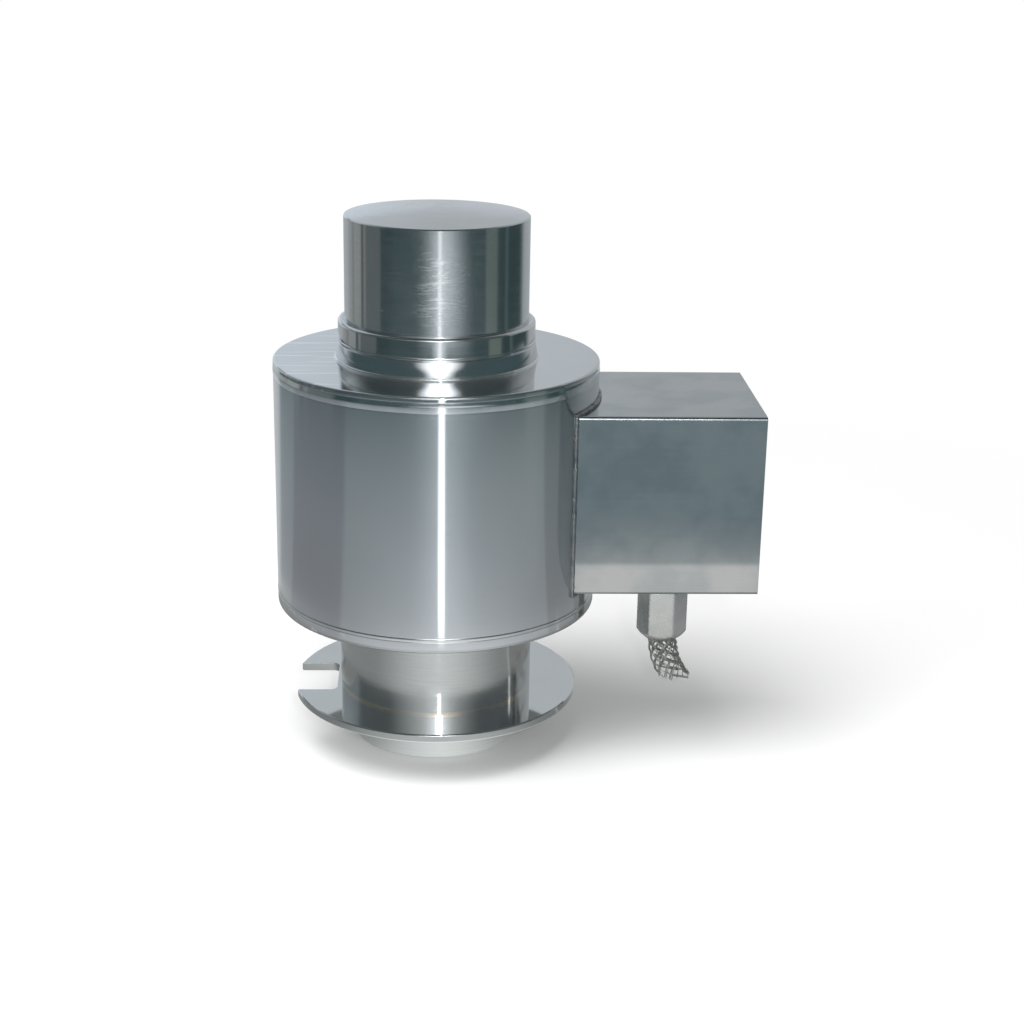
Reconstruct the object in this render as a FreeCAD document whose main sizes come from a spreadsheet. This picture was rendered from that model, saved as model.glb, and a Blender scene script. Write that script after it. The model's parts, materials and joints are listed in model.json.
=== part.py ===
import FreeCAD, Part
import math
import os
import Sketcher
from FreeCAD import Placement, Rotation, Vector

# Stainless column load cell with a hermetic canister, an electronics box welded to its side
# and an anti-rotation plate round its foot. Millimetres, +Z up along the column, origin on
# the axis at the flat land of the lower end, +X towards the electronics box.

os.makedirs("parts", exist_ok=True)
doc = FreeCAD.newDocument("load_cell")

SIZES = {
    "dome_radius": (150.0, "spherical radius of both loaded ends"),
    "land_radius": (10.0, "flat land at the middle of the lower end"),
    "edge_break": (0.3, "small chamfer on turned outer edges"),
    "button_radius": (25.0, "loading button, turned from 50 mm bar"),
    "button_exposed": (28.0, "button standing above the collar, up to its rim"),
    "stub_radius": (23.5, "lower stub that enters the bottom bearing cup"),
    "stub_length": (13.7, "base land to the underside of the anti-rotation plate"),
    "seat_step": (0.4, "seats of collar and plate above button and stub, on the radius"),
    "neck_radius": (27.1, "column between plate and canister"),
    "neck_length": (25.3, "plate top to canister underside"),
    "shoulder_radius": (29.1, "column shoulder that the lower cover seats against"),
    "shoulder_height": (5.0, "height of that shoulder, up to the bridge board"),
    "ledge_radius": (24.1, "register that centres the bridge board"),
    "ledge_height": (4.0, "height of the register"),
    "waist_radius": (19.0, "measuring section of the column"),
    "waist_fillet": (3.0, "blend at both ends of the measuring section"),
    "head_radius": (28.0, "column shoulder under the upper cover"),
    "head_height": (8.0, "height of that shoulder"),
    "flat_distance": (16.5, "gauge flat to column axis"),
    "flat_height": (32.0, "height of each gauge flat"),
    "gauge_count": (4.0, "gauge flats round the column"),
    "gauge_short": (6.0, "strain gauge backing, short side"),
    "gauge_long": (9.0, "strain gauge backing, long side"),
    "gauge_thickness": (0.2, "strain gauge with its backing and glue"),
    "gauge_pitch": (9.5, "between the axial and the transverse gauge of a flat"),
    "terminal_width": (6.0, "solder terminal strip, width"),
    "terminal_height": (3.0, "solder terminal strip, height"),
    "terminal_thickness": (0.8, "solder terminal strip, thickness"),
    "terminal_drop": (11.5, "solder terminal below the middle of its flat"),
    "lead_radius": (0.4, "gauge lead"),
    "lead_inset": (2.9, "gauge leads from the inner edge of the bridge board"),
    "lead_bend": (3.0, "bend of a gauge lead"),
    "tube_radius": (44.5, "canister, outside"),
    "tube_wall": (2.0, "canister wall"),
    "tube_length": (62.9, "canister tube between the covers"),
    "cover_thickness": (3.8, "lower canister cover"),
    "upper_cover_thickness": (2.8, "upper canister cover"),
    "upper_edge_round": (0.5, "outer edge of the upper cover"),
    "lower_edge_round": (1.0, "outer edge of the lower cover"),
    "spigot_height": (2.0, "ring of each cover that centres it in the tube"),
    "spigot_width": (4.0, "width of that ring"),
    "spigot_clearance": (0.1, "between that ring and the tube"),
    "fit_clearance": (0.05, "slip fits"),
    "seam_depth": (0.5, "depth of the welded seams"),
    "seam_half": (0.5, "half the height of a narrow seam bead"),
    "seam_crown": (1.5, "crown radius of a narrow seam bead"),
    "wide_seam_half": (1.4, "half the height of the upper cover's seam bead"),
    "wide_seam_crown": (8.2, "crown radius of that bead"),
    "hub_height": (5.2, "hub of the upper cover above its face"),
    "hub_radius": (26.8, "top of the hub and the collar on it, outside"),
    "hub_spread": (0.7, "foot of the hub wider than its top, on the radius"),
    "hub_barrel": (30.0, "barrel radius of the hub's side"),
    "lip_width": (0.3, "lip round the foot of the hub, on the radius"),
    "lip_height": (0.5, "height of that lip"),
    "collar_height": (5.6, "collar above the hub"),
    "collar_round": (0.8, "rounded shoulder of the collar"),
    "weld_leg": (1.3, "fillet welds at neck and stub"),
    "plate_radius": (40.1, "anti-rotation plate, outside"),
    "plate_thickness": (2.3, "anti-rotation plate"),
    "slot_width": (19.0, "slot in the plate for the anti-rotation stop"),
    "slot_floor": (28.0, "column axis to the floor of the slot"),
    "slot_corner": (2.0, "corner of the slot floor"),
    "board_clearance": (5.0, "bridge board to canister tube"),
    "board_thickness": (1.6, "both circuit boards"),
    "resistor_radius": (1.1, "balance resistor on the bridge board"),
    "resistor_length": (6.0, "balance resistor, length"),
    "resistor_inset": (4.5, "balance resistors from the outer edge of the bridge board"),
    "resistor_start": (60.0, "angle of the first balance resistor from +X"),
    "resistor_pitch": (48.0, "angle between balance resistors"),
    "box_reach": (87.5, "column axis to the outer end of the electronics box"),
    "box_width": (50.0, "electronics box, front to back"),
    "box_height": (50.0, "electronics box, bottom to top"),
    "box_level": (5.55, "box underside above the tube's lower end"),
    "box_wall": (2.0, "electronics box wall"),
    "box_bend": (1.0, "outer bend of the box edges"),
    "box_gap": (0.1, "gap between box and canister under the weld"),
    "end_clearance": (0.1, "end plate in the mouth of the box"),
    "end_leg": (0.8, "weld bead that closes the mouth of the box over the end plate"),
    "bead_leg": (1.3, "weld bead between box and canister"),
    "port_radius": (5.0, "feedthrough hole in the canister wall"),
    "bush_length": (6.0, "feedthrough bush"),
    "bridge_cable_radius": (1.6, "cable from bridge board to circuit board"),
    "bridge_cable_straight": (0.3, "bridge cable between its bends and the bush"),
    "bridge_cable_bend": (6.0, "bends of the bridge cable"),
    "circuit_width": (34.0, "circuit board along X"),
    "circuit_height": (38.0, "circuit board along Z"),
    "circuit_margin": (2.5, "circuit board to the end plate"),
    "hole_inset": (3.2, "board screws from the board's edges"),
    "standoff_radius": (2.6, "board standoff"),
    "standoff_length": (6.0, "board standoff"),
    "screw_radius": (1.2, "board screw shank"),
    "screw_head_radius": (2.3, "board screw head"),
    "screw_head_height": (1.6, "board screw head"),
    "screw_grip": (4.0, "board screw inside its standoff"),
    "header_width": (7.0, "plug header of the bridge cable, along X"),
    "header_height": (6.0, "plug header, along Z"),
    "header_depth": (5.0, "plug header, off the board"),
    "block_width": (17.0, "terminal block along X"),
    "block_height": (9.0, "terminal block along Z"),
    "block_depth": (10.0, "terminal block off the board"),
    "block_rise": (5.0, "terminal block above the board's lower edge"),
    "wire_pitch": (3.8, "between the ways of the terminal block"),
    "wire_radius": (0.6, "cable conductor with its sleeve"),
    "wire_entry": (2.0, "conductor inside the terminal block"),
    "wire_bend": (2.0, "bends of a conductor"),
    "clamp_radius": (1.3, "clamp screw of the terminal block"),
    "clamp_depth": (2.5, "clamp screw in the terminal block"),
    "gland_inset": (22.7, "cable gland from the outer end of the box"),
    "gland_radius": (7.1, "cable gland, outside"),
    "gland_turn": (8.0, "turn of its hexagons, in degrees, clockwise from above"),
    "gland_thread_radius": (5.9, "gland thread through the box floor"),
    "gland_lower_thread": (5.4, "gland thread under its nut"),
    "gland_bore": (3.4, "hole through the gland body"),
    "gland_collar_height": (5.5, "hexagon of the gland body"),
    "gland_thread_length": (7.8, "gland thread inside the nut"),
    "washer_radius": (8.2, "gland washer"),
    "washer_thickness": (1.0, "gland washer"),
    "locknut_radius": (8.4, "gland locknut across corners, half"),
    "locknut_height": (3.0, "gland locknut"),
    "seal_height": (3.2, "gland seal"),
    "nut_length": (13.4, "cylindrical length of the gland nut"),
    "nut_cone_height": (2.1, "cone at the mouth of the gland nut"),
    "nut_mouth_radius": (4.25, "mouth of the gland nut"),
    "nut_lip": (0.4, "edge of the cone round the mouth"),
    "core_radius": (2.5, "inner cable"),
    "core_rise": (3.0, "inner cable above the locknut"),
    "core_stub": (4.0, "inner cable below the seal"),
    "braid_radius": (4.0, "braided sleeve, outside"),
    "braid_wall": (0.5, "braided sleeve, thickness"),
    "braid_bend": (24.0, "bend of the braided sleeve"),
    "braid_end_level": (15.6, "lowest point of the torn braid above the base"),
}

sheet = doc.addObject("Spreadsheet::Sheet", "Sizes")
for row, (alias, (size, note)) in enumerate(SIZES.items(), start=1):
    sheet.set("A%d" % row, alias)
    sheet.set("B%d" % row, str(size))
    sheet.setAlias("B%d" % row, alias)
    sheet.set("C%d" % row, note)
doc.recompute()

sub_parts = []


def number(expression):
    """Value of an expression on the size sheet."""
    return float(sheet.evalExpression(expression))


def total(*terms):
    """Expression for a sum. A plain word is a size of the sheet, and a leading minus subtracts."""
    text = ""
    for term in terms:
        sign = "-" if term.startswith("-") else "+"
        word = term.lstrip("-")
        value = "Sizes." + word if word in SIZES else word
        text += " %s %s" % (sign, value)
    return "(0%s)" % text


# Heights above the base, as expressions.
PLATE_UNDER = total("stub_length")
PLATE_TOP = total(PLATE_UNDER, "plate_thickness")
LOWER_COVER_UNDER = total(PLATE_TOP, "neck_length")
LOWER_COVER_TOP = total(LOWER_COVER_UNDER, "cover_thickness")
BOARD_SEAT = total(LOWER_COVER_TOP, "shoulder_height")
BOARD_TOP = total(BOARD_SEAT, "board_thickness")
WAIST_BOTTOM = total(BOARD_SEAT, "ledge_height")
UPPER_COVER_UNDER = total(LOWER_COVER_TOP, "tube_length")
WAIST_TOP = total(UPPER_COVER_UNDER, "-head_height")
WAIST_MIDDLE = "(%s + %s) / 2" % (WAIST_BOTTOM, WAIST_TOP)
UPPER_COVER_TOP = total(UPPER_COVER_UNDER, "upper_cover_thickness")
HUB_TOP = total(UPPER_COVER_TOP, "hub_height")
COLLAR_TOP = total(HUB_TOP, "collar_height")
BUTTON_RIM = total(COLLAR_TOP, "button_exposed")
BOX_UNDER = total(LOWER_COVER_TOP, "box_level")
BOX_FLOOR = total(BOX_UNDER, "box_wall")
BOX_MIDDLE = total(BOX_UNDER, "Sizes.box_height / 2")
BOX_TOP = total(BOX_UNDER, "box_height")

# Radii and depths, as expressions.
TUBE_INNER = total("tube_radius", "-tube_wall")
BOARD_OUTER = total(TUBE_INNER, "-board_clearance")
LEAD_CIRCLE = total("ledge_radius", "lead_inset")
RESISTOR_CIRCLE = total(BOARD_OUTER, "-resistor_inset")
COLLAR_SEAT = total("button_radius", "seat_step")
COLLAR_BORE = total(COLLAR_SEAT, "fit_clearance")
PLATE_SEAT = total("stub_radius", "seat_step")
PLATE_SEAT_LOW = total(PLATE_UNDER, "-weld_leg")
SPIGOT_OUTER = total(TUBE_INNER, "-spigot_clearance")
SPIGOT_INNER = total(SPIGOT_OUTER, "-spigot_width")
HUB_FOOT = total("hub_radius", "hub_spread")
BOX_FRONT = "(0 - Sizes.box_width / 2)"
BOX_BACK = "(Sizes.box_width / 2)"
BOX_BACK_INNER = total(BOX_BACK, "-box_wall")
CIRCUIT_BACK = total(BOX_BACK_INNER, "-standoff_length")
CIRCUIT_FACE = total(CIRCUIT_BACK, "-board_thickness")
END_SEAT = total("box_reach", "-end_leg", "-box_wall")
CIRCUIT_OUTER = total(END_SEAT, "-circuit_margin")
CIRCUIT_INNER = total(CIRCUIT_OUTER, "-circuit_width")
CIRCUIT_LOW = total(BOX_MIDDLE, "-Sizes.circuit_height / 2")
CIRCUIT_HIGH = total(BOX_MIDDLE, "Sizes.circuit_height / 2")
BLOCK_FACE = total(CIRCUIT_FACE, "-block_depth")
BLOCK_LOW = total(CIRCUIT_LOW, "block_rise")
BLOCK_MIDDLE = total(BLOCK_LOW, "Sizes.block_height / 2")
BLOCK_HIGH = total(BLOCK_LOW, "block_height")
GLAND_X = total("box_reach", "-gland_inset")
BUSH_START = "(Sizes.tube_radius - (Sizes.tube_wall + Sizes.bush_length) / 2)"
BUSH_END = total(BUSH_START, "bush_length")
HEADER_X = total(BUSH_END, "bridge_cable_straight", "bridge_cable_bend")
WIRE_COUNT = 4
SAME = 1e-6


def keep(feature):
    """List a finished sub-part for the checks and the export."""
    sub_parts.append(feature)
    return feature


def new_sketch(body, name, role, offset=None):
    """Sketch on one of the body's own origin planes, moved along its normal if asked."""
    sketch = body.newObject("Sketcher::SketchObject", name)
    plane = [item for item in body.Origin.OriginFeatures if item.Role == role][0]
    sketch.AttachmentSupport = [(plane, "")]
    sketch.MapMode = "FlatFace"
    if offset:
        sketch.setExpression("AttachmentOffset.Base.z", offset)
    return sketch


def hold_point(sketch, geometry, vertex, place):
    """Hold a sketch point at the place that two expressions give."""
    for kind, axis, expression in (("DistanceX", -2, place[0]), ("DistanceY", -1, place[1])):
        if expression == "0":
            sketch.addConstraint(Sketcher.Constraint("PointOnObject", geometry, vertex, axis))
        else:
            held = Sketcher.Constraint(kind, -1, 1, geometry, vertex, number(expression))
            index = sketch.addConstraint(held)
            sketch.setExpression("Constraints[%d]" % index, expression)


def arc_between(start, end, radius, side):
    """Arc from start to end, its centre on the left (side 1) or right (side -1) of the way."""
    chord = end - start
    across = Vector(-chord.y, chord.x, 0).normalize()
    reach = math.sqrt(radius ** 2 - (chord.Length / 2) ** 2)
    centre = (start + end) / 2 + across * (side * reach)
    first, last = (start, end) if side > 0 else (end, start)
    angles = [math.atan2(point.y - centre.y, point.x - centre.x) for point in (first, last)]
    return Part.ArcOfCircle(Part.Circle(centre, Vector(0, 0, 1), radius), angles[0], angles[1])


def draw_profile(sketch, places, arcs=None):
    """Closed outline through the places. arcs: index of an edge's first place to (radius, side)."""
    arcs = arcs or {}
    points = [Vector(number(place[0]), number(place[1]), 0) for place in places]
    heads = []
    tails = []
    for index, place in enumerate(places):
        start = points[index]
        end = points[(index + 1) % len(points)]
        if index in arcs:
            radius, side = arcs[index]
            edge = sketch.addGeometry(arc_between(start, end, number(radius), side), False)
            held = Sketcher.Constraint("Radius", edge, number(radius))
            sketch.setExpression("Constraints[%d]" % sketch.addConstraint(held), radius)
            head, tail = (1, 2) if side > 0 else (2, 1)
        else:
            edge = sketch.addGeometry(Part.LineSegment(start, end), False)
            head, tail = 1, 2
        hold_point(sketch, edge, head, place)
        heads.append((edge, head))
        tails.append((edge, tail))
    for index, (edge, tail) in enumerate(tails):
        following, head = heads[(index + 1) % len(heads)]
        sketch.addConstraint(Sketcher.Constraint("Coincident", edge, tail, following, head))


def draw_circle(sketch, centre, radius):
    """Circle whose centre and radius follow expressions."""
    middle = Vector(number(centre[0]), number(centre[1]), 0)
    edge = sketch.addGeometry(Part.Circle(middle, Vector(0, 0, 1), number(radius)), False)
    hold_point(sketch, edge, 3, centre)
    held = Sketcher.Constraint("Radius", edge, number(radius))
    sketch.setExpression("Constraints[%d]" % sketch.addConstraint(held), radius)


def draw_rectangle(sketch, low, high):
    """Rectangle between two corners given as expressions."""
    draw_profile(sketch, [low, (high[0], low[1]), high, (low[0], high[1])])


def draw_rounded_rectangle(sketch, low, high, radius):
    """Rectangle between two corners, its corners rounded to one radius."""
    left, bottom = low
    right, top = high
    places = []
    for x, y, dx, dy in (
        (left, bottom, radius, "0"),
        (right, bottom, "-" + radius, "0"),
        (right, bottom, "0", radius),
        (right, top, "0", "-" + radius),
        (right, top, "-" + radius, "0"),
        (left, top, radius, "0"),
        (left, top, "0", "-" + radius),
        (left, bottom, "0", radius),
    ):
        places.append((total(x, dx), total(y, dy)))
    draw_profile(sketch, places, {index: (radius, 1) for index in (1, 3, 5, 7)})


def turned(label, places, arcs=None):
    """Body turned round the column axis from a profile of radii and heights."""
    body = doc.addObject("PartDesign::Body", label)
    sketch = new_sketch(body, label + "_profile", "XZ_Plane")
    draw_profile(sketch, places, arcs)
    feature = body.newObject("PartDesign::Revolution", label + "_turning")
    feature.Profile = sketch
    feature.ReferenceAxis = (sketch, ["V_Axis"])
    feature.Angle = 360
    doc.recompute()
    return body


def pad(body, sketch, length):
    """Pad of a sketch along its normal."""
    feature = body.newObject("PartDesign::Pad", sketch.Name + "_pad")
    feature.Profile = sketch
    feature.setExpression("Length", length)
    doc.recompute()
    return feature


def pocket(body, sketch, length=None, forward=False):
    """Pocket against the sketch's normal, or along it if forward, checked to have cut."""
    before = body.Shape.Volume
    feature = body.newObject("PartDesign::Pocket", sketch.Name + "_pocket")
    feature.Profile = sketch
    if length:
        feature.setExpression("Length", length)
    else:
        feature.Type = "ThroughAll"
    feature.Reversed = forward
    doc.recompute()
    if body.Shape.Volume >= before:
        raise RuntimeError("%s cuts nothing" % feature.Name)
    return feature


def polar_pattern(body, feature, count):
    """Copies of a feature round the column axis."""
    pattern = body.newObject("PartDesign::PolarPattern", feature.Name + "_ring")
    pattern.Originals = [feature]
    axis = [item for item in body.Origin.OriginFeatures if item.Role == "Z_Axis"][0]
    pattern.Axis = (axis, [""])
    pattern.Angle = 360
    pattern.setExpression("Occurrences", count)
    body.Tip = pattern
    doc.recompute()
    return pattern


def chamfer_rim(body, name, radius):
    """Chamfer on the circular outer edges of a body, by the general edge break."""
    base = body.Tip
    names = []
    for index, edge in enumerate(base.Shape.Edges, start=1):
        if hasattr(edge.Curve, "Radius") and abs(edge.Curve.Radius - number(radius)) < SAME:
            names.append("Edge%d" % index)
    feature = body.newObject("PartDesign::Chamfer", name)
    feature.Base = (base, names)
    feature.setExpression("Size", total("edge_break"))
    body.Tip = feature
    doc.recompute()


def place_at(feature, x, y, z, rotation=None):
    """Place a primitive by expressions, turned first if asked."""
    if rotation:
        feature.Placement = Placement(Vector(), rotation)
    for axis, expression in (("x", x), ("y", y), ("z", z)):
        feature.setExpression("Placement.Base." + axis, expression)
    return feature


def block(name, low, size):
    """Box from its low corner and its three sizes."""
    feature = doc.addObject("Part::Box", name)
    for prop, expression in zip(("Length", "Width", "Height"), size):
        feature.setExpression(prop, expression)
    return place_at(feature, *low)


ALONG_X = Rotation(Vector(0, 1, 0), 90)
ALONG_Y = Rotation(Vector(1, 0, 0), -90)


def rod(name, radius, length, start, rotation=None):
    """Cylinder from its start point, along +Z unless turned."""
    feature = doc.addObject("Part::Cylinder", name)
    feature.setExpression("Radius", radius)
    feature.setExpression("Height", length)
    return place_at(feature, *start, rotation)


def joined(label, pieces):
    """One sub-part from several primitives, which stay separate solids where they are apart."""
    feature = doc.addObject("Part::MultiFuse", label)
    feature.Shapes = pieces
    doc.recompute()
    return feature


def cut(label, base, tool):
    """Base less tool, checked to have cut."""
    feature = doc.addObject("Part::Cut", label)
    feature.Base = base
    feature.Tool = tool
    doc.recompute()
    if feature.Shape.Volume >= base.Shape.Volume:
        raise RuntimeError("%s cuts nothing" % label)
    return feature


def rounded_path(points, bend):
    """Straight runs joined by tangent arcs of one radius, as a wire."""
    edges = []
    start = points[0]
    for corner, after in zip(points[1:-1], points[2:]):
        back = (start - corner).normalize()
        ahead = (after - corner).normalize()
        half = back.getAngle(ahead) / 2
        setback = bend / math.tan(half)
        enter = corner + back * setback
        leave = corner + ahead * setback
        inward = (back + ahead).normalize()
        middle = corner + inward * (bend / math.sin(half) - bend)
        edges.append(Part.LineSegment(start, enter).toShape())
        edges.append(Part.Arc(enter, middle, leave).toShape())
        start = leave
    edges.append(Part.LineSegment(start, points[-1]).toShape())
    return Part.Wire(edges)


def round_bar(path, radius):
    """Solid of round section along a path, its volume checked against section times length."""
    first = path.Edges[0]
    start = first.valueAt(first.FirstParameter)
    heading = first.tangentAt(first.FirstParameter)
    ring = Part.Wire([Part.Circle(start, heading, radius).toShape()])
    solid = path.makePipeShell([ring], True, False)
    expected = math.pi * radius ** 2 * path.Length
    if abs(solid.Volume - expected) > 0.01 * expected:
        raise RuntimeError("a bar along a path has the wrong volume")
    return solid


def shaped(label, shapes):
    """Sub-part from ready shapes."""
    feature = doc.addObject("Part::Feature", label)
    feature.Shape = shapes[0] if len(shapes) == 1 else Part.makeCompound(shapes)
    feature.Placement = Placement()
    return keep(feature)


def build_column():
    """One turned bar: domed button, shoulders, gauge waist, neck and domed stub."""
    rim = total("button_radius", "-edge_break")
    sag = "Sizes.dome_radius - sqrt(Sizes.dome_radius^2 - %s^2)" % rim
    land_edge = "sqrt(Sizes.dome_radius^2 - Sizes.land_radius^2)"
    stub_edge = "sqrt(Sizes.dome_radius^2 - Sizes.stub_radius^2)"
    fillet = total("waist_radius", "waist_fillet")
    places = [
        ("0", "0"),
        (total("land_radius"), "0"),
        (total("stub_radius"), "(%s - %s)" % (land_edge, stub_edge)),
        (total("stub_radius"), PLATE_SEAT_LOW),
        (PLATE_SEAT, PLATE_SEAT_LOW),
        (PLATE_SEAT, PLATE_TOP),
        (total("neck_radius"), PLATE_TOP),
        (total("neck_radius"), LOWER_COVER_TOP),
        (total("shoulder_radius"), LOWER_COVER_TOP),
        (total("shoulder_radius"), BOARD_SEAT),
        (total("ledge_radius"), BOARD_SEAT),
        (total("ledge_radius"), WAIST_BOTTOM),
        (fillet, WAIST_BOTTOM),
        (total("waist_radius"), total(WAIST_BOTTOM, "waist_fillet")),
        (total("waist_radius"), total(WAIST_TOP, "-waist_fillet")),
        (fillet, WAIST_TOP),
        (total("head_radius"), WAIST_TOP),
        (total("head_radius"), UPPER_COVER_UNDER),
        (COLLAR_SEAT, UPPER_COVER_UNDER),
        (COLLAR_SEAT, COLLAR_TOP),
        (total("button_radius"), COLLAR_TOP),
        (total("button_radius"), total(BUTTON_RIM, "-edge_break")),
        (rim, BUTTON_RIM),
        ("0", "(%s + %s)" % (BUTTON_RIM, sag)),
    ]
    arcs = {
        1: (total("dome_radius"), 1),
        12: (total("waist_fillet"), -1),
        14: (total("waist_fillet"), -1),
        22: (total("dome_radius"), 1),
    }
    body = turned("load_column", places, arcs)
    low = "(%s - Sizes.flat_height / 2)" % WAIST_MIDDLE
    sketch = new_sketch(body, "gauge_flat", "XY_Plane", low)
    reach = total("ledge_radius")
    draw_rectangle(sketch, (total("flat_distance"), "-" + reach), (reach, reach))
    flat = pocket(body, sketch, total("flat_height"), forward=True)
    polar_pattern(body, flat, "Sizes.gauge_count")
    return keep(body)


def build_on_flats(label, middles, thickness):
    """Thin rectangles on every gauge flat. middles: (width, height, rise above the middle)."""
    body = doc.addObject("PartDesign::Body", label)
    body.AllowCompound = True
    sketch = new_sketch(body, label + "_outline", "YZ_Plane", total("flat_distance"))
    for width, height, rise in middles:
        middle = "(%s + %s)" % (WAIST_MIDDLE, rise)
        low = ("(0 - %s / 2)" % width, "(%s - %s / 2)" % (middle, height))
        high = ("(%s / 2)" % width, "(%s + %s / 2)" % (middle, height))
        draw_rectangle(sketch, low, high)
    strip = pad(body, sketch, total(thickness))
    polar_pattern(body, strip, "Sizes.gauge_count")
    return keep(body)


def build_gauges():
    """An axial and a transverse gauge on each flat, with a solder terminal under them."""
    half_pitch = "(Sizes.gauge_pitch / 2)"
    short = total("gauge_short")
    long = total("gauge_long")
    gauges = [(short, long, half_pitch), (long, short, "(0 - %s)" % half_pitch)]
    build_on_flats("strain_gauges", gauges, "gauge_thickness")
    strip = (total("terminal_width"), total("terminal_height"), "(0 - Sizes.terminal_drop)")
    build_on_flats("solder_terminals", [strip], "terminal_thickness")


def build_gauge_leads():
    """One lead from each solder terminal out and down to the bridge board."""
    level = number(WAIST_MIDDLE) - sheet.terminal_drop
    start = sheet.flat_distance + sheet.terminal_thickness
    corners = [
        Vector(start, 0, level),
        Vector(number(LEAD_CIRCLE), 0, level),
        Vector(number(LEAD_CIRCLE), 0, number(BOARD_TOP)),
    ]
    lead = round_bar(rounded_path(corners, sheet.lead_bend), sheet.lead_radius)
    leads = []
    count = int(sheet.gauge_count)
    for index in range(count):
        copy = lead.copy()
        copy.rotate(Vector(), Vector(0, 0, 1), index * 360 / count)
        leads.append(copy)
    shaped("gauge_leads", leads)


def build_bridge_board():
    """Ring-shaped board on the column's lower shoulder, with its balance resistors."""
    body = doc.addObject("PartDesign::Body", "bridge_board")
    sketch = new_sketch(body, "bridge_board_outline", "XY_Plane", BOARD_SEAT)
    draw_circle(sketch, ("0", "0"), BOARD_OUTER)
    draw_circle(sketch, ("0", "0"), total("ledge_radius", "fit_clearance"))
    pad(body, sketch, total("board_thickness"))
    keep(body)
    resistors = []
    level = total(BOARD_TOP, "resistor_radius")
    resistor_count = 6
    for index in range(resistor_count):
        angle = "(Sizes.resistor_start + %d * Sizes.resistor_pitch)" % index
        half = "(Sizes.resistor_length / 2)"
        x = "(%s * cos(%s) + %s * sin(%s))" % (RESISTOR_CIRCLE, angle, half, angle)
        y = "(%s * sin(%s) - %s * cos(%s))" % (RESISTOR_CIRCLE, angle, half, angle)
        turn = Rotation(Vector(0, 0, 1), number(angle)) * ALONG_Y
        name = "resistor_%d" % index
        start = (x, y, level)
        length = total("resistor_length")
        resistors.append(rod(name, total("resistor_radius"), length, start, turn))
    keep(joined("bridge_resistors", resistors))


def build_canister():
    """Tube, both covers, the collar and the welds that close them."""
    tube = turned("canister_tube", [
        (TUBE_INNER, LOWER_COVER_TOP),
        (total("tube_radius", "-seam_depth"), LOWER_COVER_TOP),
        (total("tube_radius"), total(LOWER_COVER_TOP, "seam_half")),
        (total("tube_radius"), total(UPPER_COVER_UNDER, "-wide_seam_half")),
        (total("tube_radius", "-seam_depth"), UPPER_COVER_UNDER),
        (TUBE_INNER, UPPER_COVER_UNDER),
    ])
    sketch = new_sketch(tube, "port", "YZ_Plane")
    draw_circle(sketch, ("0", BOX_MIDDLE), total("port_radius"))
    pocket(tube, sketch, forward=True)
    keep(tube)

    lip = total(HUB_FOOT, "lip_width")
    lip_top = total(UPPER_COVER_TOP, "lip_height")
    keep(turned("top_cover", [
        (COLLAR_BORE, UPPER_COVER_UNDER),
        (SPIGOT_INNER, UPPER_COVER_UNDER),
        (SPIGOT_INNER, total(UPPER_COVER_UNDER, "-spigot_height")),
        (SPIGOT_OUTER, total(UPPER_COVER_UNDER, "-spigot_height")),
        (SPIGOT_OUTER, UPPER_COVER_UNDER),
        (total("tube_radius", "-seam_depth"), UPPER_COVER_UNDER),
        (total("tube_radius"), total(UPPER_COVER_UNDER, "wide_seam_half")),
        (total("tube_radius"), total(UPPER_COVER_TOP, "-upper_edge_round")),
        (total("tube_radius", "-upper_edge_round"), UPPER_COVER_TOP),
        (lip, UPPER_COVER_TOP),
        (lip, lip_top),
        (HUB_FOOT, lip_top),
        (total("hub_radius"), total(HUB_TOP, "-seam_half")),
        (total("hub_radius", "-seam_depth"), HUB_TOP),
        (COLLAR_BORE, HUB_TOP),
    ], {7: (total("upper_edge_round"), 1), 11: (total("hub_barrel"), 1)}))

    neck_bore = total("neck_radius", "fit_clearance")
    keep(turned("bottom_cover", [
        (neck_bore, LOWER_COVER_UNDER),
        (total("tube_radius", "-lower_edge_round"), LOWER_COVER_UNDER),
        (total("tube_radius"), total(LOWER_COVER_UNDER, "lower_edge_round")),
        (total("tube_radius"), total(LOWER_COVER_TOP, "-seam_half")),
        (total("tube_radius", "-seam_depth"), LOWER_COVER_TOP),
        (SPIGOT_OUTER, LOWER_COVER_TOP),
        (SPIGOT_OUTER, total(LOWER_COVER_TOP, "spigot_height")),
        (SPIGOT_INNER, total(LOWER_COVER_TOP, "spigot_height")),
        (SPIGOT_INNER, LOWER_COVER_TOP),
        (neck_bore, LOWER_COVER_TOP),
    ], {1: (total("lower_edge_round"), 1)}))

    keep(turned("seal_collar", [
        (COLLAR_BORE, HUB_TOP),
        (total("hub_radius", "-seam_depth"), HUB_TOP),
        (total("hub_radius"), total(HUB_TOP, "seam_half")),
        (total("hub_radius"), total(COLLAR_TOP, "-collar_round")),
        (total("hub_radius", "-collar_round"), COLLAR_TOP),
        (COLLAR_BORE, COLLAR_TOP),
    ], {3: (total("collar_round"), 1)}))

    build_seam("top_seam_weld", "tube_radius", UPPER_COVER_UNDER, "wide_seam")
    build_seam("bottom_seam_weld", "tube_radius", LOWER_COVER_TOP, "seam")
    build_seam("collar_weld", "hub_radius", HUB_TOP, "seam")
    build_fillet_weld("neck_weld", total("neck_radius"), LOWER_COVER_UNDER)
    build_fillet_weld("plate_weld", PLATE_SEAT, PLATE_UNDER)


def build_seam(label, radius, level, bead):
    """Weld bead in the groove between two turned pieces of one radius that meet at a level."""
    keep(turned(label, [
        (total(radius, "-seam_depth"), level),
        (total(radius), total(level, "-%s_half" % bead)),
        (total(radius), total(level, "%s_half" % bead)),
    ], {1: (total("%s_crown" % bead), 1)}))


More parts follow.
